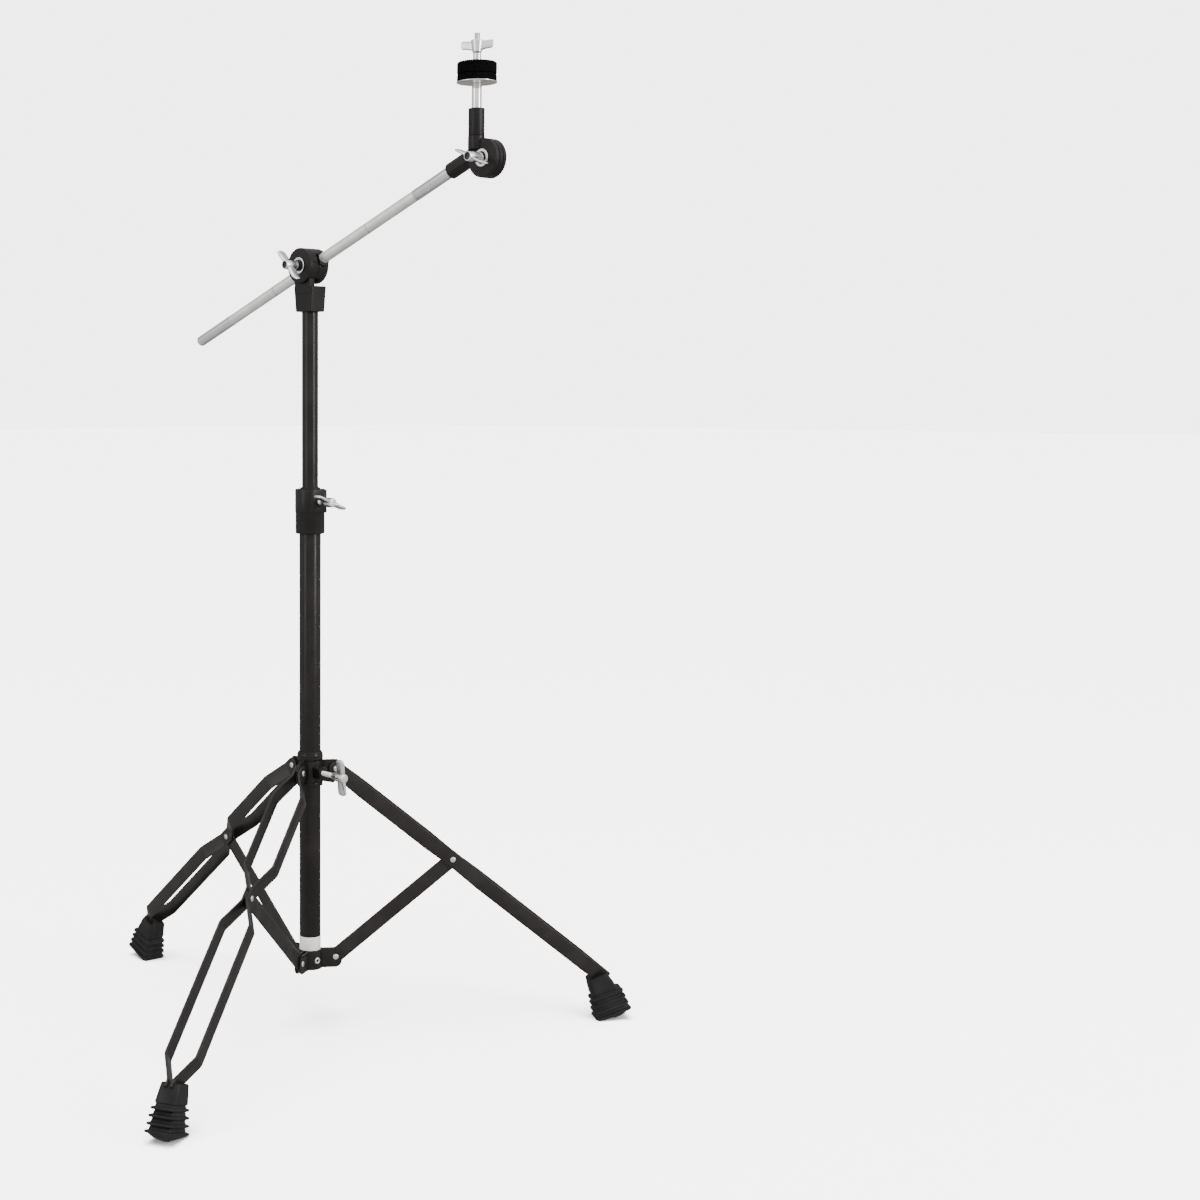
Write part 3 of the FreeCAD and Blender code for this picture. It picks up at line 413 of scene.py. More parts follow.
def piece(name, objs, body, material, replaces=(), sharp=38):
    """Names a finished piece and lets it ride on its body."""
    obj = joined(objs) if isinstance(objs, (list, tuple)) else objs
    obj.name = name
    mesh = obj.data
    mesh.name = name
    mesh.materials.clear()
    mesh.materials.append(material)
    mesh.polygons.foreach_set("use_smooth", [True] * len(mesh.polygons))
    mesh.polygons.foreach_set("material_index", [0] * len(mesh.polygons))
    mesh.set_sharp_from_angle(angle=math.radians(sharp))
    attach(obj, body)
    if replaces:
        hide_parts(*replaces)
    return obj


# ---- materials


COAT_ROUGHNESS = 0.15


def set_inputs(node, values):
    for name, value in values.items():
        node.inputs[name].default_value = value


class Surface:
    """A principled material with the node links that every finish here shares."""

    def __init__(self, name, color, metallic=0.0, roughness=0.5, specular=0.5, coat=0.0):
        self.material = bpy.data.materials.new(name)
        self.material.use_nodes = True
        self.tree = self.material.node_tree
        self.link = self.tree.links.new
        self.shader = self.tree.nodes["Principled BSDF"]
        set_inputs(self.shader, {"Base Color": (*color, 1), "Metallic": metallic, "Roughness": roughness,
                                 "Specular IOR Level": specular, "Coat Weight": coat,
                                 "Coat Roughness": COAT_ROUGHNESS})
        self.coords = self.add("TexCoord").outputs["Object"]
        self.last_bump = None

    def add(self, kind):
        return self.tree.nodes.new("ShaderNode" + kind)

    def noise(self, scale, detail=4.0, stretch=(1, 1, 1)):
        mapping = self.add("Mapping")
        mapping.inputs["Scale"].default_value = stretch
        texture = self.add("TexNoise")
        set_inputs(texture, {"Scale": scale, "Detail": detail})
        self.link(self.coords, mapping.inputs["Vector"])
        self.link(mapping.outputs["Vector"], texture.inputs["Vector"])
        return texture.outputs["Fac"]

    def color_from(self, value, low_at, high_at, low_color, high_color):
        node = self.add("ValToRGB")
        ends = node.color_ramp.elements
        for end, place, color in ((ends[0], low_at, low_color), (ends[1], high_at, high_color)):
            end.position = place
            end.color = (*color, 1)
        self.link(value, node.inputs["Fac"])
        self.link(node.outputs["Color"], self.shader.inputs["Base Color"])

    def roughness_from(self, value, smooth, rough):
        spread = self.add("MapRange")
        set_inputs(spread, {"From Min": 0.3, "From Max": 0.7, "To Min": smooth, "To Max": rough})
        self.link(value, spread.inputs["Value"])
        self.link(spread.outputs["Result"], self.shader.inputs["Roughness"])

    def bump(self, value, strength, distance):
        node = self.add("Bump")
        set_inputs(node, {"Strength": strength, "Distance": distance})
        self.link(value, node.inputs["Height"])
        if self.last_bump is not None:
            self.link(self.last_bump, node.inputs["Normal"])
        self.last_bump = node.outputs["Normal"]
        self.link(self.last_bump, self.shader.inputs["Normal"])


def powder_coat(name, color, smooth, rough, specular=0.18):
    look = Surface(name, color, specular=specular)
    lighter = tuple(channel * 1.6 + 0.002 for channel in color)
    look.color_from(look.noise(38, 6), 0.42, 0.78, color, lighter)
    look.roughness_from(look.noise(60, 5), smooth, rough)
    look.bump(look.noise(1500, 2), 0.12, 0.0004)
    look.bump(look.noise(260, 3), 0.05, 0.0006)
    return look.material


def plated(name, color, smooth, rough, grain=(1, 1, 1)):
    look = Surface(name, color, metallic=1.0)
    darker = tuple(channel * 0.86 for channel in color)
    look.color_from(look.noise(90, 4), 0.35, 0.7, darker, color)
    look.roughness_from(look.noise(120, 6, grain), smooth, rough)
    look.bump(look.noise(700, 3, grain), 0.05, 0.0003)
    return look.material


def knurled():
    look = Surface("knurled_chrome", (0.62, 0.62, 0.61), metallic=1.0)
    look.color_from(look.noise(60, 4), 0.35, 0.7, (0.84, 0.84, 0.82), (0.97, 0.97, 0.95))
    look.roughness_from(look.noise(200, 5), 0.36, 0.5)
    look.bump(look.noise(2600, 2), 0.25, 0.0003)
    return look.material


def rubber():
    look = Surface("foot_rubber", (0.008, 0.008, 0.0083), roughness=0.62, specular=0.2)
    look.color_from(look.noise(45, 6), 0.4, 0.8, (0.008, 0.0078, 0.0077), (0.0165, 0.016, 0.0156))
    look.roughness_from(look.noise(70, 4), 0.5, 0.72)
    look.bump(look.noise(900, 4), 0.18, 0.0005)
    return look.material


def felt_cloth():
    look = Surface("black_felt", (0.002, 0.002, 0.0021), roughness=0.95, specular=0.04)
    look.color_from(look.noise(420, 8), 0.35, 0.75, (0.0013, 0.0013, 0.0014), (0.0045, 0.0045, 0.0048))
    look.bump(look.noise(1700, 8), 0.8, 0.0007)
    look.bump(look.noise(500, 6, (1, 1, 3)), 0.5, 0.0009)
    return look.material


def moulded(name, color, smooth, rough):
    look = Surface(name, color, specular=0.2)
    lighter = tuple(channel * 1.4 + 0.003 for channel in color)
    look.color_from(look.noise(50, 5), 0.4, 0.8, color, lighter)
    look.roughness_from(look.noise(90, 4), smooth, rough)
    look.bump(look.noise(1100, 3), 0.1, 0.0004)
    return look.material


def label_print():
    look = Surface("label_white", (0.84, 0.84, 0.83), specular=0.5, coat=0.3)
    look.color_from(look.noise(60, 6), 0.3, 0.75, (0.76, 0.76, 0.745), (0.86, 0.86, 0.85))
    look.roughness_from(look.noise(80, 3), 0.3, 0.42)
    look.bump(look.noise(500, 3), 0.05, 0.0003)
    return look.material


POWDER = powder_coat("powder_black", (0.0092, 0.0072, 0.0068), 0.2, 0.32)
# Straps: the same black powder coat as the tubes, given a lighter base colour as painted light for the
# lamp-lit strap faces.
STRAP_PAINTED_LIGHTER = powder_coat("strap_black_painted_lighter", (0.0125, 0.0101, 0.0092), 0.26, 0.38, 0.24)
CASTING = powder_coat("casting_black", (0.0088, 0.0072, 0.0068), 0.28, 0.4)
CHROME = plated("bright_chrome", (0.8, 0.8, 0.81), 0.07, 0.18)
NICKEL = plated("satin_chrome", (0.78, 0.78, 0.77), 0.2, 0.34)
ZINC = plated("zinc", (0.72, 0.7, 0.66), 0.24, 0.42)
KNURL = knurled()
RUBBER = rubber()
FELT = felt_cloth()
NYLON = moulded("nylon_black", (0.009, 0.009, 0.0093), 0.38, 0.52)
SLEEVE = moulded("sleeve_black", (0.004, 0.004, 0.0042), 0.34, 0.46)
LABEL = label_print()
# Near-black finish for the discs in the eyelet holes: painted shade standing in for the shadow inside the
# holes.
EYELET_PAINTED_SHADE = moulded("eyelet_painted_shade_black", (0.002, 0.002, 0.002), 0.6, 0.8)
# Dark plated finish for the bolt threads that show in the wing nuts' open ends: its darkness is painted shade
# for the hollow at each nut's end.
BOLT_END_PAINTED_SHADE = plated("thread_painted_shade", (0.06, 0.06, 0.062), 0.4, 0.55)

# ---- tubes and label


def base_tube():
    wall, label_edge, overlap = 1.5, 0.05, 0.2
    foot, head = low("base_tube").z, high("base_tube").z
    piece("base_tube_skin", tube(TUBE_R, TUBE_R - wall, foot, head), "base", POWDER, ["base_tube"])
    foot, head = low("label_band").z, high("label_band").z
    band = tube(high("label_band").x, TUBE_R - overlap, foot, head, edge=label_edge)
    piece("label_band_skin", band, "base", LABEL, ["label_band"])


def upper_tube():
    wall = 1.2
    foot, head = low("upper_tube").z, high("upper_tube").z
    piece("upper_tube_skin", tube(UPPER_R, UPPER_R - wall, foot, head), "upper", POWDER, ["upper_tube"])


# ---- rivets


def solid_rivet(half_stack, matrix):
    """A rivet whose shank lies along Z, a domed head on each face of its stack."""
    head_r, head_h, shank_r, rim = 3.5, 1.3, 2.5, 0.1
    roundness, steps = 0.6, 6
    dome = []
    for step in range(steps + 1):
        angle = math.pi / 2 * step / steps
        dome.append((head_r * math.cos(angle) ** roundness,
                     half_stack + rim + (head_h - rim) * math.sin(angle)))
    dome[-1] = (0, dome[-1][1])
    top = [(shank_r, half_stack), (head_r, half_stack)] + dome
    bottom = [(radius, -level) for radius, level in reversed(top)]
    return lathe(bottom + top, matrix, 36)


def eyelet_rivet(outer, matrix):
    """A tubular rivet seen from outside: a rolled rim round its hole, with a near-black disc down in the hole
    that is painted shade. Z points out of the tube.
    """
    hole_r, rim_r, sink = 1.5, 4.0, 0.4
    roll = [(rim_r - 0.1, outer + 0.5), (3.0, outer + 1.2), (2.0, outer + 1.1)]
    profile = [(hole_r, outer - sink), (rim_r, outer - sink)] + roll + [(hole_r, outer + 0.2)]
    rim = lathe(profile, matrix, 36, [0, 0, 0.3, 0.4, 0.4, 0])
    # The near-black disc low in the hole is painted shade.
    floor = rod(hole_r + 0.2, outer - 0.6, outer - 0.1, matrix, 24)
    return rim, floor


def across_leg(leg, reach, level):
    """Frame at a pivot: Z runs across the leg's radial plane."""
    return leg_frame(leg) @ shift(reach, 0, level) @ Matrix.Rotation(math.pi / 2, 4, "X")


# ---- leg bracket


def bracket():
    """Three plates, each wrapping a third of the tube between the ears of two legs."""
    foot, head = low("leg_bracket").z, high("leg_bracket").z
    thickness, ear_side, ear_tip, ear_corner, ear_bend, steps = 1.9, 2.9, 38.3, 8.0, 1.1, 22
    wrap = TUBE_R + thickness / 2
    meet = math.asin(ear_side / wrap)
    path = [(ear_tip, ear_side), (wrap * math.cos(meet), ear_side)]
    for step in range(1, steps):
        angle = meet + (THIRD_TURN - 2 * meet) * step / steps
        path.append((wrap * math.cos(angle), wrap * math.sin(angle)))
    path.append((wrap * math.cos(THIRD_TURN - meet), wrap * math.sin(THIRD_TURN - meet)))
    out = Vector((math.cos(THIRD_TURN), math.sin(THIRD_TURN)))
    side = Vector((math.sin(THIRD_TURN), -math.cos(THIRD_TURN)))
    path.append(tuple(out * ear_tip + side * ear_side))
    radii = [0] * len(path)
    radii[1] = radii[-2] = ear_bend
    path = fillet(path, radii, 4, closed=False)
    plates, rims, shade_discs = [], [], []
    for leg in LEGS:
        start = HEADING[leg]
        plates.append(strip(path, thickness, foot, head, turn_z(start), tip=ear_corner, edge=0.45))
        middle = start + THIRD_TURN / 2
        spot = shift(0, 0, (foot + head) / 2) @ turn_z(middle) @ Matrix.Rotation(math.pi / 2, 4, "Y")
        rim, floor = eyelet_rivet(wrap + thickness / 2, spot)
        rims.append(rim)
        shade_discs.append(floor)
    piece("leg_bracket_plates", plates, "base", POWDER, ["leg_bracket"])
    piece("bracket_eyelets", rims, "base", ZINC, ["bracket_band_rivets"])
    # The eyelet discs carry painted shade, not a part's own colour.
    piece("bracket_eyelet_painted_shade", shade_discs, "base", EYELET_PAINTED_SHADE)
    rivets = [solid_rivet(ear_side + thickness / 2, across_leg(leg, PIVOT_R, BRACE_Z)) for leg in LEGS]
    piece("brace_rivets", rivets, "base", ZINC, ["brace_pivot_rivets"])


# ---- legs

STRAP_W, STRAP_T, STRAP_EDGE = 18.0, 2.5, 0.55
LEG_REACH, LOOP_END = 432.0, 394.0


def strap_frame(leg, level, dip):
    """Frame of a strap: X along it from its pivot, Y across the leg, Z up its width."""
    return leg_frame(leg) @ shift(PIVOT_R, 0, level) @ Matrix.Rotation(dip, 4, "Y")


def leg_path(side):
    """Middle line of one strap: it bulges into two loops and closes at both pivots and in the foot."""
    top, middle, tip, wide, ease, flat, bend = 3.55, 2.8, 3.4, 18.0, 40.0, 9.0, 9.0
    points = [(-STRAP_W / 2, top), (flat, top), (ease, wide), (LINK - ease, wide), (LINK - flat, middle),
              (LINK + flat, middle), (LINK + ease, wide), (LOOP_END, wide), (LEG_REACH - flat, tip),
              (LEG_REACH, tip)]
    points = [(x, side * y) for x, y in points]
    return fillet(points, [0] + [bend] * (len(points) - 2) + [0], 7, closed=False)


def legs():
    half, gap = STRAP_W / 2, 0.3
    for leg in LEGS:
        body = "leg_" + leg
        for name, side in (("left", 1), ("right", -1)):
            # The bars use the lighter strap black, whose extra lightness is painted light.
            bar = strip(leg_path(side), STRAP_T, -half, half, strap_frame(leg, TOP_Z, DIP), tip=half,
                        tips=(True, False), edge=STRAP_EDGE)
            piece("leg_%s_%s_bar" % (leg, name), bar, body, STRAP_PAINTED_LIGHTER, ["leg_%s_strap_%s" % (leg, name)])
        stack = 1.5 * STRAP_T + gap
        piece("leg_%s_mid_rivet" % leg, solid_rivet(stack, across_leg(leg, MID_R, MID_Z)), body, ZINC,
              ["leg_%s_rivet" % leg])
        brace = strip([(-half, 0), (LINK + half, 0)], STRAP_T, -half, half, strap_frame(leg, BRACE_Z, -DIP),
                      tip=half, edge=STRAP_EDGE)
        piece("brace_%s_bar" % leg, brace, "brace_" + leg, STRAP_PAINTED_LIGHTER, ["brace_" + leg])


# ---- rubber feet

FOOT_LEAN = math.radians(19)
FOOT_REACH, FOOT_HIGH = 371.0, 7.0


FOOT_OUT = 4.6  # how far a rib's middle stands out from the foot's axis
SOLE_R, SOLE_LOW, SOLE_SHIFT, SOLE_TOP = 36.0, -9.4, 4.0, -1.6
RIB_PITCH, RIB_COUNT = 8.0, 4
RIB_ROUND = ((0.35, -1.45), (0.05, -0.8), (0.0, -0.2), (0.1, 0.4), (0.5, 0.9), (1.2, 1.15))
BLOCK = ((12.4, 11.6, 28.4, 3.3), (13.1, 12.7, 29.2, 3.2), (13.2, 12.9, 30.2, 3.1), (12.5, 12.2, 40.0, 1.9),
         (11.8, 11.5, 48.6, 0.9), (11.4, 11.2, 49.6, 0.8), (10.6, 10.3, 50.0, 0.8))


def foot_section(u_half, t_half, out):
    """Outline of a foot's section; the outer side stands further out than the inner one."""
    corner = min(u_half, t_half) * 0.34
    return rectangle(u_half + out, t_half, corner, cx=out, steps=6)


def rib_rows(rib):
    """Sections of one rib and the neck above it: half size outward, half size across, level, shift."""
    level = rib * RIB_PITCH
    u_rim, t_rim = 18.6 - 0.8 * rib, 16.9 - 0.9 * rib
    u_neck, t_neck = 15.4 - 1.0 * rib, 13.6 - 0.6 * rib
    neck_out = FOOT_OUT - 0.35 * rib
    rows = []
    if rib:
        rows.append((u_neck, t_neck, level - 2.6, neck_out))
        rows.append((u_neck + 0.5, t_neck + 0.5, level - 2.1, neck_out))
        rows.append((u_rim - 1.1, t_rim - 1.1, level - 1.75, FOOT_OUT))
    rows += [(u_rim - inset, t_rim - inset, level + rise, FOOT_OUT) for inset, rise in RIB_ROUND]
    for grow, rise in ((0.4, 1.5), (-0.2, 2.2), (-0.4, 3.6)):
        rows.append((u_neck + grow, t_neck + grow, level + rise, neck_out))
    return rows


def rubber_foot(leg):
    """Block, four drooping ribs and a crowned sole that is flat where it stands."""
    matrix = leg_frame(leg) @ shift(FOOT_REACH, 0, FOOT_HIGH) @ Matrix.Rotation(-FOOT_LEAN, 4, "Y")
    rows = [(17.6 * share, 16.0 * share, None, 4.7 * share) for share in (0.06, 0.25, 0.5, 0.75, 0.92, 1.0)]
    for rib in range(RIB_COUNT):
        rows += rib_rows(rib)
    rows += BLOCK
    verts, around = [], 0
    for u_half, t_half, level, out in rows:
        outline = foot_section(u_half, t_half, out)
        around = len(outline)
        for u, t in outline:
            height = level
            if height is None:
                height = SOLE_LOW + SOLE_R - math.sqrt(SOLE_R ** 2 - (u - SOLE_SHIFT) ** 2 - t * t)
                height = min(height, SOLE_TOP)
            spot = matrix @ Vector((u, t, height))
            spot.z = max(spot.z, 0.0)
            verts.append(spot)
    return make(verts, rings_to_faces(len(rows), around))


def feet():
    for leg in LEGS:
        piece("leg_%s_rubber" % leg, rubber_foot(leg), "leg_" + leg, RUBBER,
              ["leg_%s_foot" % leg], sharp=30)


# ---- leg collar


def collar():
    foot, head = low("leg_collar").z, high("leg_collar").z
    outer, bore_gap, rim, rim_low, ear_t, ear_gap = 15.45, 1.45, 9.0, 4.6, 1.95, 0.04
    ear_root, ear_tip, ear_top = 13.8, 38.2, 331.8
    inner = TUBE_R + bore_gap
    web_foot, web_head = foot + 1, head - rim + 1
    rings = [
        lathe([(inner, head - rim), (outer - 0.5, head - rim), (outer, head - rim + 2), (outer, head - 2.5),
               (outer - 0.6, head), (inner, head)], None, 96, 0.8),
        lathe([(inner, foot), (outer - 0.3, foot), (outer - 0.3, foot + rim_low), (inner, foot + rim_low)],
              None, 96, 0.6),
    ]
    plates = []
    for leg in LEGS:
        ear = [(ear_root, 306.0), (27.5, 303.6), (33.5, 307.5), (ear_tip, 314.5), (ear_tip, 326.0),
               (32.5, ear_top), (ear_root, ear_top)]
        outline = fillet(ear, [0, 2, 4, 4, 5, 2, 0], 5)
        stand = leg_frame(leg) @ Matrix.Rotation(math.pi / 2, 4, "X")
        plates.append(prism(outline, ear_gap, ear_t, stand, 0.35))
        plates.append(prism(outline, -ear_t, -ear_gap, stand, 0.35))
        for side in (-1, 1):
            plates.append(arc_plate(inner, outer - 0.6, HEADING[leg] + side * math.radians(11),
                                    math.radians(5.5), web_foot, web_head))
        middle = HEADING[leg] + THIRD_TURN / 2
        plates.append(arc_plate(inner, outer - 0.6, middle, math.radians(7.5), web_foot, web_head))
    piece("leg_collar_plates", rings + plates, "collar", POWDER, ["leg_collar"])

    bush = tube(inner - RUN_FIT, TUBE_R + RUN_FIT, low("collar_bush").z, high("collar_bush").z, edge=0.3)
    piece("collar_bush_skin", bush, "collar", NYLON, ["collar_bush"])
    rivets = [solid_rivet(4.8, across_leg(leg, PIVOT_R, TOP_Z)) for leg in LEGS]
    piece("collar_rivets", rivets, "collar", ZINC, ["collar_pivot_rivets"])

    # The square nut that takes the clamping bolt, its mouth recessed.
    nut_half, nut_start, nut_end, mouth_r, mouth_deep = 6.5, 14.6, 26.8, 4.3, 2.2
    bolt_z = joint_place("collar_bolt_turn").z
    spot = aimed((0, 0, bolt_z), BOLT_AXIS)
    nut = prism(rectangle(nut_half, nut_half, 1.0), nut_start, nut_end, spot, 0.5)
    nut = cut(nut, rod(mouth_r, nut_end - mouth_deep, 30, spot, 32))
    piece("collar_nut_block", nut, "collar", POWDER, ["collar_nut"])


# ---- wing fasteners


TILTER_BOLT_R, TILTER_BOLT_PITCH = 4.0, 1.25


def wing_bolt(name, body, node, origin, roll, shank_start, hub_start, wing_mid, hub_end):
    """Threaded shank, flared hub and two wings; the frame's Z is the bolt's axis."""
    neck_r, hub_r, span, tall, thick = 4.2, 5.7, 21.8, 14.2, 4.4
    bolt_r, pitch = 3.0, 1.0
    spot = aimed(origin, BOLT_AXIS, roll)
    profile = [(0, hub_start), (neck_r, hub_start), (neck_r + 0.1, hub_start + 3),
               (hub_r - 0.1, wing_mid - 4.6), (hub_r, wing_mid + 3.5), (5.0, hub_end), (0, hub_end)]
    hub = lathe(profile, spot, 48, [0, 0.6, 1.5, 2.0, 1.5, 0.8, 0], 4)
    blades = wings(span, wing_mid, wing_mid + 0.3, tall, thick, spot, waist=0.9, blunt=0.84)
    solid = union(hub, blades)
    shank = thread(bolt_r, pitch, shank_start, hub_start + 1, spot)
    piece(name, [solid, shank], body, NICKEL, [node])


def tilter_nut(name, body, node, origin, axis, roll, reach, foot=0.0):
    """A wing nut with a cone-shaped hub, open at its end where the bolt shows."""
    foot_r, hub_r, end_r, wing_mid, span, tall, thick = 5.1, 5.5, 5.0, 14.4, 23.0, 12.2, 3.4
    spot = aimed(origin, axis, roll)
    profile = [(0, foot), (foot_r, foot), (foot_r, foot + 3), (hub_r, reach - 7), (end_r, reach), (0, reach)]
    hub = lathe(profile, spot, 48, [0, 0.4, 1.0, 2.0, 0.5, 0], 3)
    blades = wings(span, wing_mid, wing_mid, tall, thick, spot, waist=0.72)
    solid = union(hub, blades)
    solid = cut(solid, rod(TILTER_BOLT_R + RUN_FIT, foot - 1.0, reach + 4, spot, 40))
    piece(name, solid, body, NICKEL, [node])


def fasteners():
    wing_bolt("height_wing", "height_bolt", "height_wing_bolt", (0, 0, joint_place("height_bolt_turn").z),
              math.radians(63), 11.6, 25.0, 38.5, 45.0)
    wing_bolt("collar_wing", "collar_bolt", "collar_wing_bolt", (0, 0, joint_place("collar_bolt_turn").z),
              0.0, 13.1, 46.0, 60.6, 67.6)
    tilter_nut("lower_wing", "lower_nut", "tilter_wing_nut", (0, high("tilter_wing_nut").y, TILT.z),
               (0, -1, 0), math.radians(-47), 21.0, foot=3.0)
    tilter_nut("top_wing", "top_nut", "top_wing_nut", (TOP.x, high("top_wing_nut").y, TOP.z),
               (0, -1, 0), math.radians(-23), 21.0)


# ---- height clamp


def height_clamp():
    foot, head = low("height_clamp").z, high("height_clamp").z
    step, outer, bead, tube_stop = 628.0, 17.2, 0.5, foot + 27
    bush_r, flange_r = 11.2, 12.0
    boss_half, boss_reach, pocket_r = 10.3, 19.7, 4.6
    sleeve = lathe([(0, foot), (outer, foot), (outer, step + 2), (0, step + 2)], None, 96, [0, 1.0, 0, 0])
    crown_r = outer + bead
    crown = lathe([(0, step), (crown_r, step), (crown_r, head), (0, head)], None, 96, [0, 0.5, 0.7, 0])
    boss = prism(rectangle(boss_reach / 2, boss_half, 1.0, cx=boss_reach / 2), step + 0.2, head - 0.2,
                 turn_z(BOLT_HEADING), 0.6)
    solid = union(sleeve, crown, boss)
    bolt = aimed((0, 0, joint_place("height_bolt_turn").z), BOLT_AXIS)
    solid = cut(solid, rod(bush_r, tube_stop, head + 5, None, 96),
                rod(TUBE_R + 0.02, foot - 5, tube_stop, None, 96), rod(pocket_r, 17.4, 24, bolt, 40))
    piece("height_clamp_housing", eased(solid, 0.35), "base", CASTING, ["height_clamp", "height_clamp_nut"])
    bore_r, skirt_r = UPPER_R + RUN_FIT, bush_r - 0.1
    start, end = low("height_bush").z, high("height_bush").z
    bush = lathe([(bore_r, start), (skirt_r, start), (skirt_r, head), (flange_r, head), (flange_r, end),
                  (bore_r, end)], None, 96, [0, 0.3, 0, 0.2, 0.6, 0.3])
    piece("height_bush_skin", bush, "swivel_bush", NYLON, ["height_bush"])


# ---- lower tilter


def disc(radius, front, back, x, z, edge=0.9, segments=96):
    """A disc across Y, its front at the lesser Y."""
    spot = aimed((x, back, z), (0, -1, 0))
    return lathe([(0, 0), (radius, 0), (radius, back - front), (0, back - front)], spot, segments,
                 [0, edge * 0.5, edge, 0], 4)


def arm_frame(along=0.0):
    """Frame on the boom arm: Z runs up it."""
    origin = Vector((TILT.x, ARM_PLANE, TILT.z)) + ARM_AXIS * along
    return aimed(origin, ARM_AXIS)


def lower_tilter():
    """The socket on the upper tube and the rear clamp meet at a joint in front of the rod."""
    foot, shoulder = low("tilter_base").z, 891.0
    front, joint, gap, pocket_r, pocket_deep = -17.0, -4.5, 0.3, 9.9, 0.8
    neck_half, neck_front, neck_back = 13.5, -13.01, -4.45
    radius = high("tilter_base").x
    sections = [(rectangle(13.3 - 0.6, 11.6 - 0.6, 2.0), foot), (rectangle(13.3, 11.6, 2.4), foot + 0.6),
                (rectangle(15.6, 12.3, 2.6), shoulder - 0.6), (rectangle(15.0, 11.7, 2.2), shoulder)]
    socket = loft(sections)
    neck_outline = rectangle(neck_half, (neck_back - neck_front) / 2, 1.5, cy=(neck_back + neck_front) / 2)
    neck = prism(neck_outline, shoulder - 8, TILT.z - 4)
    solid = union(socket, neck, disc(radius, front, joint, 0, TILT.z))
    solid = cut(solid, rod(UPPER_R, foot - 2, foot + 22, None, 64),
                disc(pocket_r, front - 1, front + pocket_deep, 0, TILT.z, NO_EDGE),
                disc(TILTER_BOLT_R + 0.2, -20, 0, 0, TILT.z, NO_EDGE))
    piece("tilter_socket", eased(solid, 0.4), "upper", CASTING, ["tilter_base"])
    pin_r, pin_half = 2.0, 10
    pin_z = (low("tilter_base_pin").z + high("tilter_base_pin").z) / 2
    pin = rod(pin_r, -pin_half, pin_half, aimed((0, 0, pin_z), (0, 1, 0)), 32, 0.3)
    piece("tilter_roll_pin", pin, "upper", ZINC, ["tilter_base_pin"])

    boss_r, boss_start, boss_end, rod_gap = 9.2, 8, 21.6, 0.25
    face = joint + gap
    rear = disc(radius, face, high("tilter_clamp").y, 0, TILT.z, 2.2)
    boss = [rod(boss_r, boss_start, boss_end, arm_frame(), 64, 0.8),
            rod(boss_r, -boss_end, -boss_start, arm_frame(), 64, 0.8)]
    rear = union(rear, *boss)
    trim = prism(rectangle(40, 20, 0.1, cy=face - 20), TILT.z - 40, TILT.z + 40)
    rear = cut(rear, trim, rod(ARM_R + rod_gap, -60, 60, arm_frame(), 64))
    piece("arm_clamp_casting", eased(rear, 0.4), "arm_clamp", CASTING, ["tilter_clamp"])

    eye_wall, eye_half, shank_start, thread_start, thread_end = 1.5, 4.4, -4.0, 14.0, 33.6
    eye = tube(ARM_R + eye_wall, ARM_R + RUN_FIT, -eye_half, eye_half, arm_frame())
    bolt = aimed((0, shank_start, TILT.z), (0, -1, 0))
    shank = rod(TILTER_BOLT_R - RUN_FIT, 0, thread_start + 0.5, bolt, 48)
    piece("eye_bolt", [eye, shank], "arm_clamp", CHROME, ["tilter_eye_bolt"])
    # The thread is coloured dark as painted shade where it shows in the wing nut's open end.
    end = thread(TILTER_BOLT_R, TILTER_BOLT_PITCH, thread_start, thread_end, bolt, 0.5)
    piece("eye_bolt_thread", end, "arm_clamp", BOLT_END_PAINTED_SHADE)
    ring_in, ring_out, ring_foot, ring_head, core_head = 6.4, 9.4, -0.6, 1.6, 4.4
    face = aimed((0, front, TILT.z), (0, -1, 0))
    washer = tube(ring_out, ring_in, ring_foot, ring_head, face, 64, 0.3)
    # A dark ring round the bolt inside the washer's hole, standing out past the washer: painted shade for the
    # shaded bolt there.
    shade_ring = tube(ring_in - 0.2, TILTER_BOLT_R + 0.1, ring_foot, core_head, face, 64, 0.3)
    piece("tilter_washer_ring", washer, "arm_clamp", CHROME, ["tilter_washer"])
    piece("tilter_washer_painted_shade", shade_ring, "arm_clamp", CASTING)


# ---- boom arm


def knurled_skin(start, end, radius):
    """A cylinder cut with two crossing sets of fine helical grooves."""
    pitch, starts, per_pitch, depth, crest_drop = 2.0, 18, 4, 0.16, 0.05
    rows = int((end - start) / pitch * per_pitch)
    around = starts * per_pitch
    verts = []
    for row in range(rows + 1):
        level = start + (end - start) * row / rows
        for i in range(around):
            share = i / around * starts
            one = abs(2 * ((level / pitch + share) % 1) - 1)
            two = abs(2 * ((level / pitch - share) % 1) - 1)
            reach = radius - crest_drop - depth * (1 - min(one, two))
            angle = 2 * math.pi * i / around
            verts.append((reach * math.cos(angle), reach * math.sin(angle), level))
    return make(verts, rings_to_faces(rows + 1, around), arm_frame())


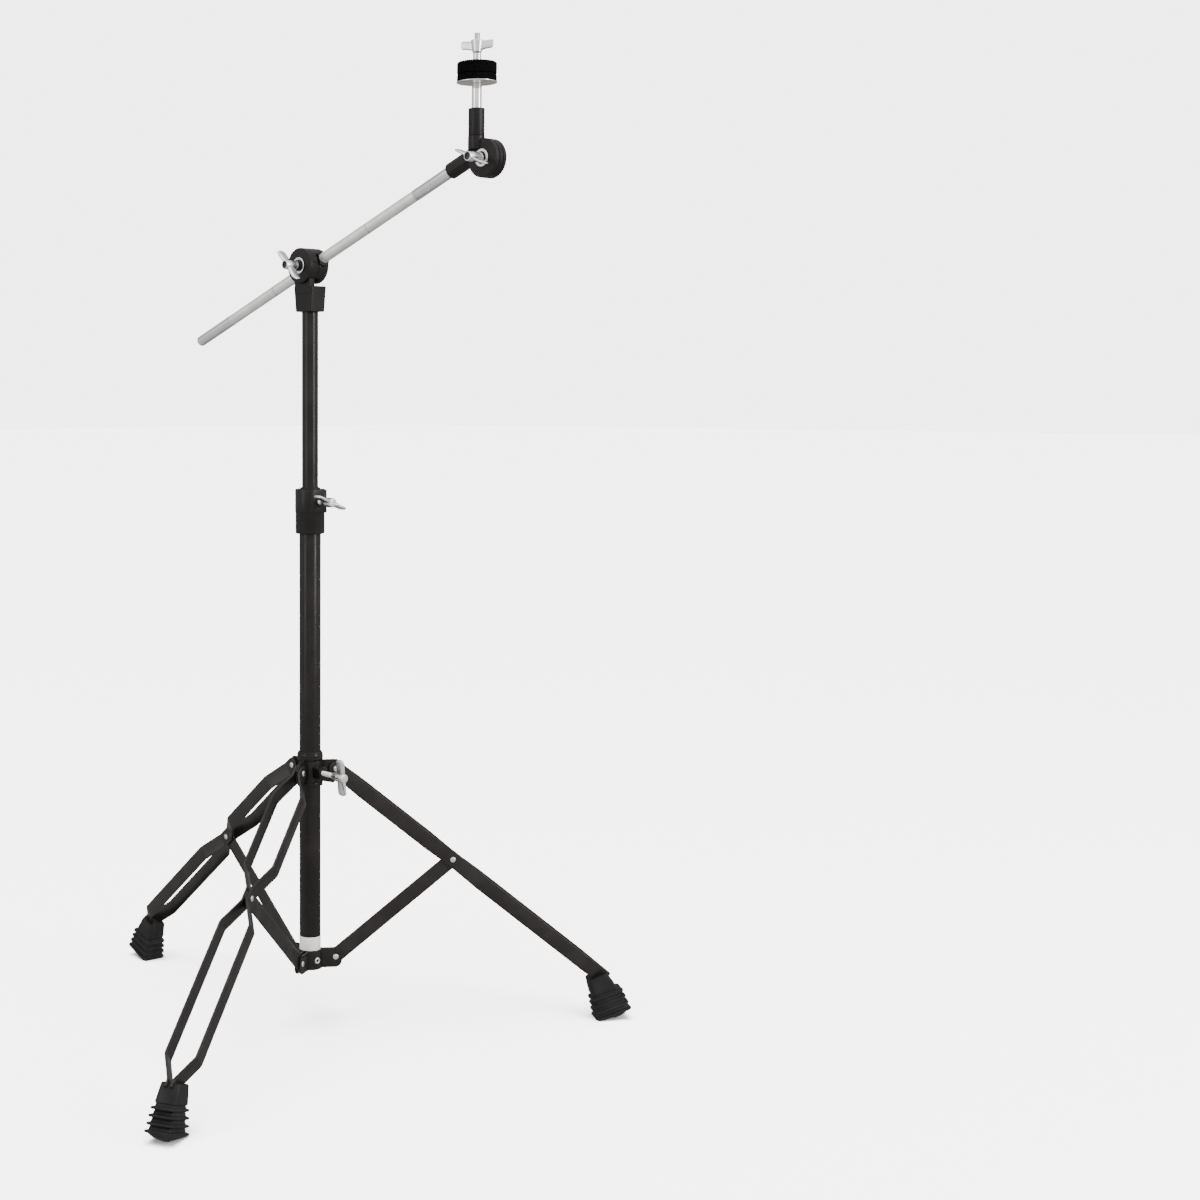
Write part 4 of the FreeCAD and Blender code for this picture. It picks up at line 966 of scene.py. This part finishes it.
def boom_arm():
    """A rod with a domed tail, a knurled middle length and two smooth bands in the knurl."""
    knurl_start, knurl_end, root = -153.0, 183.7, 282.0
    bands, band = (-66.7, 104.1), 3.0
    dome, steps = ARM_R * 0.6, 8
    tip = []
    for step in range(steps + 1):
        angle = math.pi / 2 * step / steps
        tip.append((ARM_R * math.sin(angle), ARM_TAIL + dome * (1 - math.cos(angle))))
    tail_bar = lathe(tip + [(ARM_R, knurl_start), (0, knurl_start)], arm_frame(), 64)
    head_bar = rod(ARM_R, knurl_end, root, arm_frame(), 64, 0.4)
    rings = [rod(ARM_R, spot - band / 2, spot + band / 2, arm_frame(), 64) for spot in bands]
    piece("boom_arm_plain", [tail_bar, head_bar] + rings, "arm", CHROME, ["boom_arm"])
    edges = [knurl_start]
    for spot in bands:
        edges += [spot - band / 2, spot + band / 2]
    edges.append(knurl_end)
    skins = [knurled_skin(edges[i], edges[i + 1], ARM_R) for i in range(0, len(edges), 2)]
    piece("boom_arm_knurl", skins, "arm", KNURL, sharp=80)


# ---- top tilter


def rim_groove(radius, face):
    """A ring that cuts the groove round a disc's rim; the face's frame looks into the disc."""
    near, far, deep = 2.2, 3.2, radius - 0.9
    return lathe([(deep, near), (radius + 3, near), (radius + 3, far), (deep, far)], face, 96)


def top_tilter():
    """Two discs that meet at a joint: one ends the rod, the other carries the cymbal post."""
    radius, gap, overlap, cap_high = 20.3, 0.3, 0.6, 4.5
    joint, front, back = TOP.y, high("top_tilter_washer").y, high("top_tilter_bolt").y - cap_high
    socket_r, socket_start, socket_end, rod_end = 8.9, 240.0, 283.0, 282.3
    arm_disc = disc(radius, joint + gap - overlap, back, TOP.x, TOP.z)
    socket = rod(socket_r, socket_start, socket_end, arm_frame(), 64, 0.9)
    ahead = prism(rectangle(60, 30, 0.1, TOP.x, joint + gap - 30), TOP.z - 60, TOP.z + 60)
    solid = union(arm_disc, socket)
    solid = cut(solid, ahead, rod(ARM_R + RUN_FIT, socket_start - 10, rod_end, arm_frame(), 64))
    solid = cut(solid, rim_groove(radius, aimed((TOP.x, joint + gap, TOP.z), (0, 1, 0))))
    piece("arm_end_body", eased(solid, 0.35), "arm_end", CASTING, ["arm_end_casting"])

    boss_r, cheek_half = 8.8, 8.75
    post_disc = disc(radius, front, joint + overlap, TOP.x, TOP.z)
    boss = rod(boss_r, POST_FOOT - 3, POST_BOSS, shift(POST.x, POST.y, 0), 64, 0.6)
    cheek_outline = rectangle(cheek_half, (joint - front) / 2, 0.8, POST.x, (front + joint) / 2)
    cheek = prism(cheek_outline, TOP.z, POST_FOOT + 4)
    behind = prism(rectangle(60, 30, 0.1, TOP.x, joint + 30), TOP.z - 60, TOP.z + 60)
    solid = union(post_disc, boss, cheek)
    solid = cut(solid, behind, disc(TILTER_BOLT_R + 0.2, -40, 10, TOP.x, TOP.z, NO_EDGE))
    solid = cut(solid, rim_groove(radius, aimed((TOP.x, joint, TOP.z), (0, -1, 0))))
    piece("post_end_body", eased(solid, 0.35), "post", CASTING, ["post_casting"])

    bolt = aimed((TOP.x, back + 0.1, TOP.z), (0, -1, 0))
    reach = back - low("top_tilter_bolt").y
    shank = rod(TILTER_BOLT_R - RUN_FIT, 0, reach - 14, bolt, 48)
    cap = lathe([(0, -4.4), (4.6, -4.4), (6.9, -1.8), (7.0, 0.2), (0, 0.2)], bolt, 48, [0, 1.5, 1.0, 0, 0], 4)
    piece("top_bolt", [shank, cap], "arm_end", CHROME, ["top_tilter_bolt"])
    # The thread is coloured dark as painted shade where it shows in the wing nut's open end.
    end = thread(TILTER_BOLT_R, TILTER_BOLT_PITCH, reach - 14.5, reach - 0.5, bolt, 0.5)
    piece("top_bolt_thread", end, "arm_end", BOLT_END_PAINTED_SHADE)
    ring_in, ring_out, ring_high, core_high = 6.4, 9.2, 1.6, 0.9
    face = aimed((TOP.x, front, TOP.z), (0, -1, 0))
    washer = tube(ring_out, ring_in, 0, ring_high, face, 64, 0.3)
    # A dark ring round the bolt inside the washer's hole: painted shade for the shaded bolt there.
    shade_ring = tube(ring_in - 0.1, TILTER_BOLT_R + 0.1, 0, core_high, face, 64, 0.2)
    piece("top_washer_painted_shade", shade_ring, "arm_end", CASTING)
    piece("top_washer", washer, "arm_end", CHROME, ["top_tilter_washer"])


# ---- cymbal post

POST_FOOT = low("post_rod").z
POST_BOSS = high("post_casting").z
POST_R, STUD_R, STUD_PITCH, FELT_R = 5.2, 3.0, 1.0, 20.9


def felt(name, body, node, foot, head, hole, radius):
    """A pressed felt disc with soft rims and an uneven skin."""
    rows, segments = [], 120
    spacing, hard, soft = 20.0 / 14, 1.0, 2.2
    corners = fillet([(hole, foot), (radius, foot), (radius, head), (hole, head)], [0, hard, soft, 0], 6)
    for before, after in zip(corners, corners[1:] + corners[:1]):
        span = (Vector(after) - Vector(before)).length
        parts = max(1, int(span / spacing))
        for part in range(parts):
            rows.append(Vector(before).lerp(Vector(after), part / parts))
    verts = []
    for point in rows:
        for i in range(segments):
            angle = 2 * math.pi * i / segments
            spot = Vector((point.x * math.cos(angle), point.y, point.x * math.sin(angle)))
            rough = noise.noise(spot * 0.9) * 0.22 + noise.noise(spot * 2.3) * 0.12
            reach = min(point.x + rough - 0.15, radius) if point.x > hole + 0.5 else point.x
            level = point.y + (rough * 0.5 if point.x > hole + 0.5 else 0)
            level = min(max(level, foot), head)
            verts.append((POST.x + reach * math.cos(angle), POST.y + reach * math.sin(angle), level))
    count = len(rows)
    faces = []
    for ring in range(count):
        following = (ring + 1) % count
        for i in range(segments):
            j = (i + 1) % segments
            faces.append((ring * segments + i, ring * segments + j, following * segments + j,
                          following * segments + i))
    obj = piece(name, make(verts, faces), body, FELT, [node], sharp=60)


def cymbal_post():
    here = shift(POST.x, POST.y, 0)
    sleeve_head = high("post_sleeve").z
    sleeve_r = 8.5
    sleeve = tube(sleeve_r, POST_R, POST_BOSS + 0.1, sleeve_head, here, 64, 0.5)
    piece("post_sleeve_skin", sleeve, "post", SLEEVE, ["post_sleeve"])
    shoulder = low("cup_washer").z
    tip = high("post_rod").z
    bar = rod(POST_R, POST_FOOT, shoulder, here, 64, 0.4)
    stud = thread(STUD_R, STUD_PITCH, shoulder - 2, tip, here)
    piece("post_rod_skin", [bar, stud], "post", CHROME, ["post_rod"])
    cup_top = high("cup_washer").z
    cup_in, cup_r, rise = STUD_R + 0.1, 21.3, 0.2
    cup = lathe([(cup_in, shoulder), (8.0, shoulder), (8.6, shoulder + rise), (cup_r, shoulder + rise),
                 (cup_r, cup_top), (cup_in, cup_top)], here, 96, [0, 0.1, 0.1, 0.3, 0.3, 0])
    piece("cup_washer_skin", cup, "post", ZINC, ["cup_washer"])
    gap, lower_hole, upper_hole = 0.1, 3.2, 4.4
    felt("lower_felt_pad", "post", "lower_felt", low("lower_felt").z, high("lower_felt").z - gap, lower_hole,
         FELT_R)
    felt("upper_felt_pad", "felt_lift", "upper_felt", low("upper_felt").z + gap, high("upper_felt").z,
         upper_hole, FELT_R)


def cymbal_nut():
    here = shift(POST.x, POST.y, 0) @ turn_z(math.radians(23))
    neck, top = low("cymbal_wing_nut").z, high("cymbal_wing_nut").z
    hub_high, bore, neck_r, top_r, span, tall, thick = 12.2, STUD_R + 0.1, 4.1, 6.6, 17.8, 8.8, 2.8
    body = top - hub_high
    profile = [(bore, neck), (neck_r, neck), (neck_r, body - 1.5), (4.9, body), (top_r, top), (bore, top)]
    hub = lathe(profile, here, 48, [0, 0.2, 1.0, 1.0, 0.8, 0.3], 3)
    blades = wings(span, body + 6.1, body + 7.6, tall, thick, here, waist=1.36, blunt=0.9)
    blades = cut(blades, rod(3.3, body - 4, top + 4, here, 48))
    piece("cymbal_wing", [hub, blades], "cymbal_nut", NICKEL, ["cymbal_wing_nut"])


base_tube()
upper_tube()
bracket()
legs()
feet()
collar()
fasteners()
height_clamp()
lower_tilter()
boom_arm()
top_tilter()
cymbal_post()
cymbal_nut()

# ---- floor, light and camera


CAMERA_TURN = math.radians(48)


def add_stage():
    half, drop_m = 40000, 0.0002
    floor = make([(-half, -half, 0), (half, -half, 0), (half, half, 0), (-half, half, 0)], [(0, 1, 2, 3)])
    floor.name = "floor"
    floor.location.z = -drop_m
    pale = Surface("pale_floor", (0.86, 0.86, 0.86), roughness=0.9, specular=0.2)
    floor.data.materials.append(pale.material)
    floor.visible_glossy = False
    floor.visible_diffuse = False
    return floor


def add_light(name, place, target, size, energy, color=(1, 1, 1)):
    light = bpy.data.lights.new(name, "AREA")
    light.shape = "RECTANGLE"
    light.size, light.size_y = size
    light.energy = energy
    light.color = color
    obj = bpy.data.objects.new(name, light)
    obj.location = place
    obj.rotation_euler = (Vector(target) - Vector(place)).to_track_quat("-Z", "Y").to_euler()
    bpy.context.scene.collection.objects.link(obj)


def add_floor_light(floor):
    """A broad soft sun that lights only the floor, so the floor reads white with soft shadows."""
    sun = bpy.data.lights.new("floor_sun", "SUN")
    sun.energy = FLOOR_SUN
    sun.angle = math.radians(50)
    obj = bpy.data.objects.new("floor_sun", sun)
    obj.rotation_euler = (math.radians(12), math.radians(8), 0)
    bpy.context.scene.collection.objects.link(obj)
    receivers = bpy.data.collections.new("floor_only")
    receivers.objects.link(floor)
    obj.light_linking.receiver_collection = receivers


def add_world():
    """White behind the object; the surroundings it reflects are dimmer, and dimmest behind it and below."""
    white = (1.0, 1.0, 1.0, 1)
    world = bpy.data.worlds.new("studio")
    world.use_nodes = True
    tree = world.node_tree
    link = tree.links.new
    seen = tree.nodes["Background"]
    set_inputs(seen, {"Color": white, "Strength": BACKDROP_WHITE})
    room = tree.nodes.new("ShaderNodeBackground")
    room.inputs["Color"].default_value = white
    way = tree.nodes.new("ShaderNodeTexCoord").outputs["Generated"]

    def lobe(direction, start, finish, dim, bright):
        dot = tree.nodes.new("ShaderNodeVectorMath")
        dot.operation = "DOT_PRODUCT"
        dot.inputs[1].default_value = direction
        link(way, dot.inputs[0])
        spread = tree.nodes.new("ShaderNodeMapRange")
        spread.interpolation_type = "SMOOTHSTEP"
        set_inputs(spread, {"From Min": start, "From Max": finish, "To Min": dim, "To Max": bright})
        link(dot.outputs["Value"], spread.inputs["Value"])
        return spread.outputs["Result"]

    ahead = lobe((math.sin(CAMERA_TURN), -math.cos(CAMERA_TURN), 0), -0.75, 0.1, 0.4, 1.0)
    above = lobe((0, 0, 1), -0.6, 0.4, 0.55, 1.0)
    product = tree.nodes.new("ShaderNodeMath")
    product.operation = "MULTIPLY"
    link(ahead, product.inputs[0])
    link(above, product.inputs[1])
    strength = tree.nodes.new("ShaderNodeMath")
    strength.operation = "MULTIPLY"
    strength.inputs[1].default_value = ROOM_LIGHT
    link(product.outputs["Value"], strength.inputs[0])
    link(strength.outputs["Value"], room.inputs["Strength"])
    mix = tree.nodes.new("ShaderNodeMixShader")
    link(tree.nodes.new("ShaderNodeLightPath").outputs["Is Camera Ray"], mix.inputs["Fac"])
    link(room.outputs["Background"], mix.inputs[1])
    link(seen.outputs["Background"], mix.inputs[2])
    link(mix.outputs["Shader"], tree.nodes["World Output"].inputs["Surface"])
    bpy.context.scene.world = world


def add_camera():
    """Camera 2.21 m from the tube at 760 mm, turned 48 degrees and tipped 6.1 degrees down."""
    azimuth, dip, distance, height = CAMERA_TURN, math.radians(6.1), 2.21, 0.76
    camera = bpy.data.cameras.new("camera")
    camera.sensor_width = 36.0
    camera.lens = 56.25
    camera.shift_x = 0.2416
    camera.clip_end = 60
    obj = bpy.data.objects.new("camera", camera)
    obj.location = (distance * math.sin(azimuth), -distance * math.cos(azimuth), height)
    look = Vector((-math.sin(azimuth) * math.cos(dip), math.cos(azimuth) * math.cos(dip), -math.sin(dip)))
    obj.rotation_euler = look.to_track_quat("-Z", "Y").to_euler()
    bpy.context.scene.collection.objects.link(obj)
    bpy.context.scene.camera = obj


def camera_side(right, back, up):
    """A place given from the camera's side: metres to its right, towards it and up."""
    azimuth = CAMERA_TURN
    return (right * math.cos(azimuth) + back * math.sin(azimuth),
            right * math.sin(azimuth) - back * math.cos(azimuth), up)


BACKDROP_WHITE, ROOM_LIGHT, FLOOR_SUN = 4.5, 1.45, 16.5
add_floor_light(add_stage())
add_world()
add_light("key", camera_side(2.6, 1.6, 1.7), (0, 0, 0.6), (0.6, 2.4), 80)
add_light("fill", camera_side(-2.6, 1.8, 1.3), (0, 0, 0.4), (1.0, 2.2), 24)
add_light("top", camera_side(0.2, 0.2, 3.2), (0, 0, 0), (2.5, 2.5), 30)
add_camera()
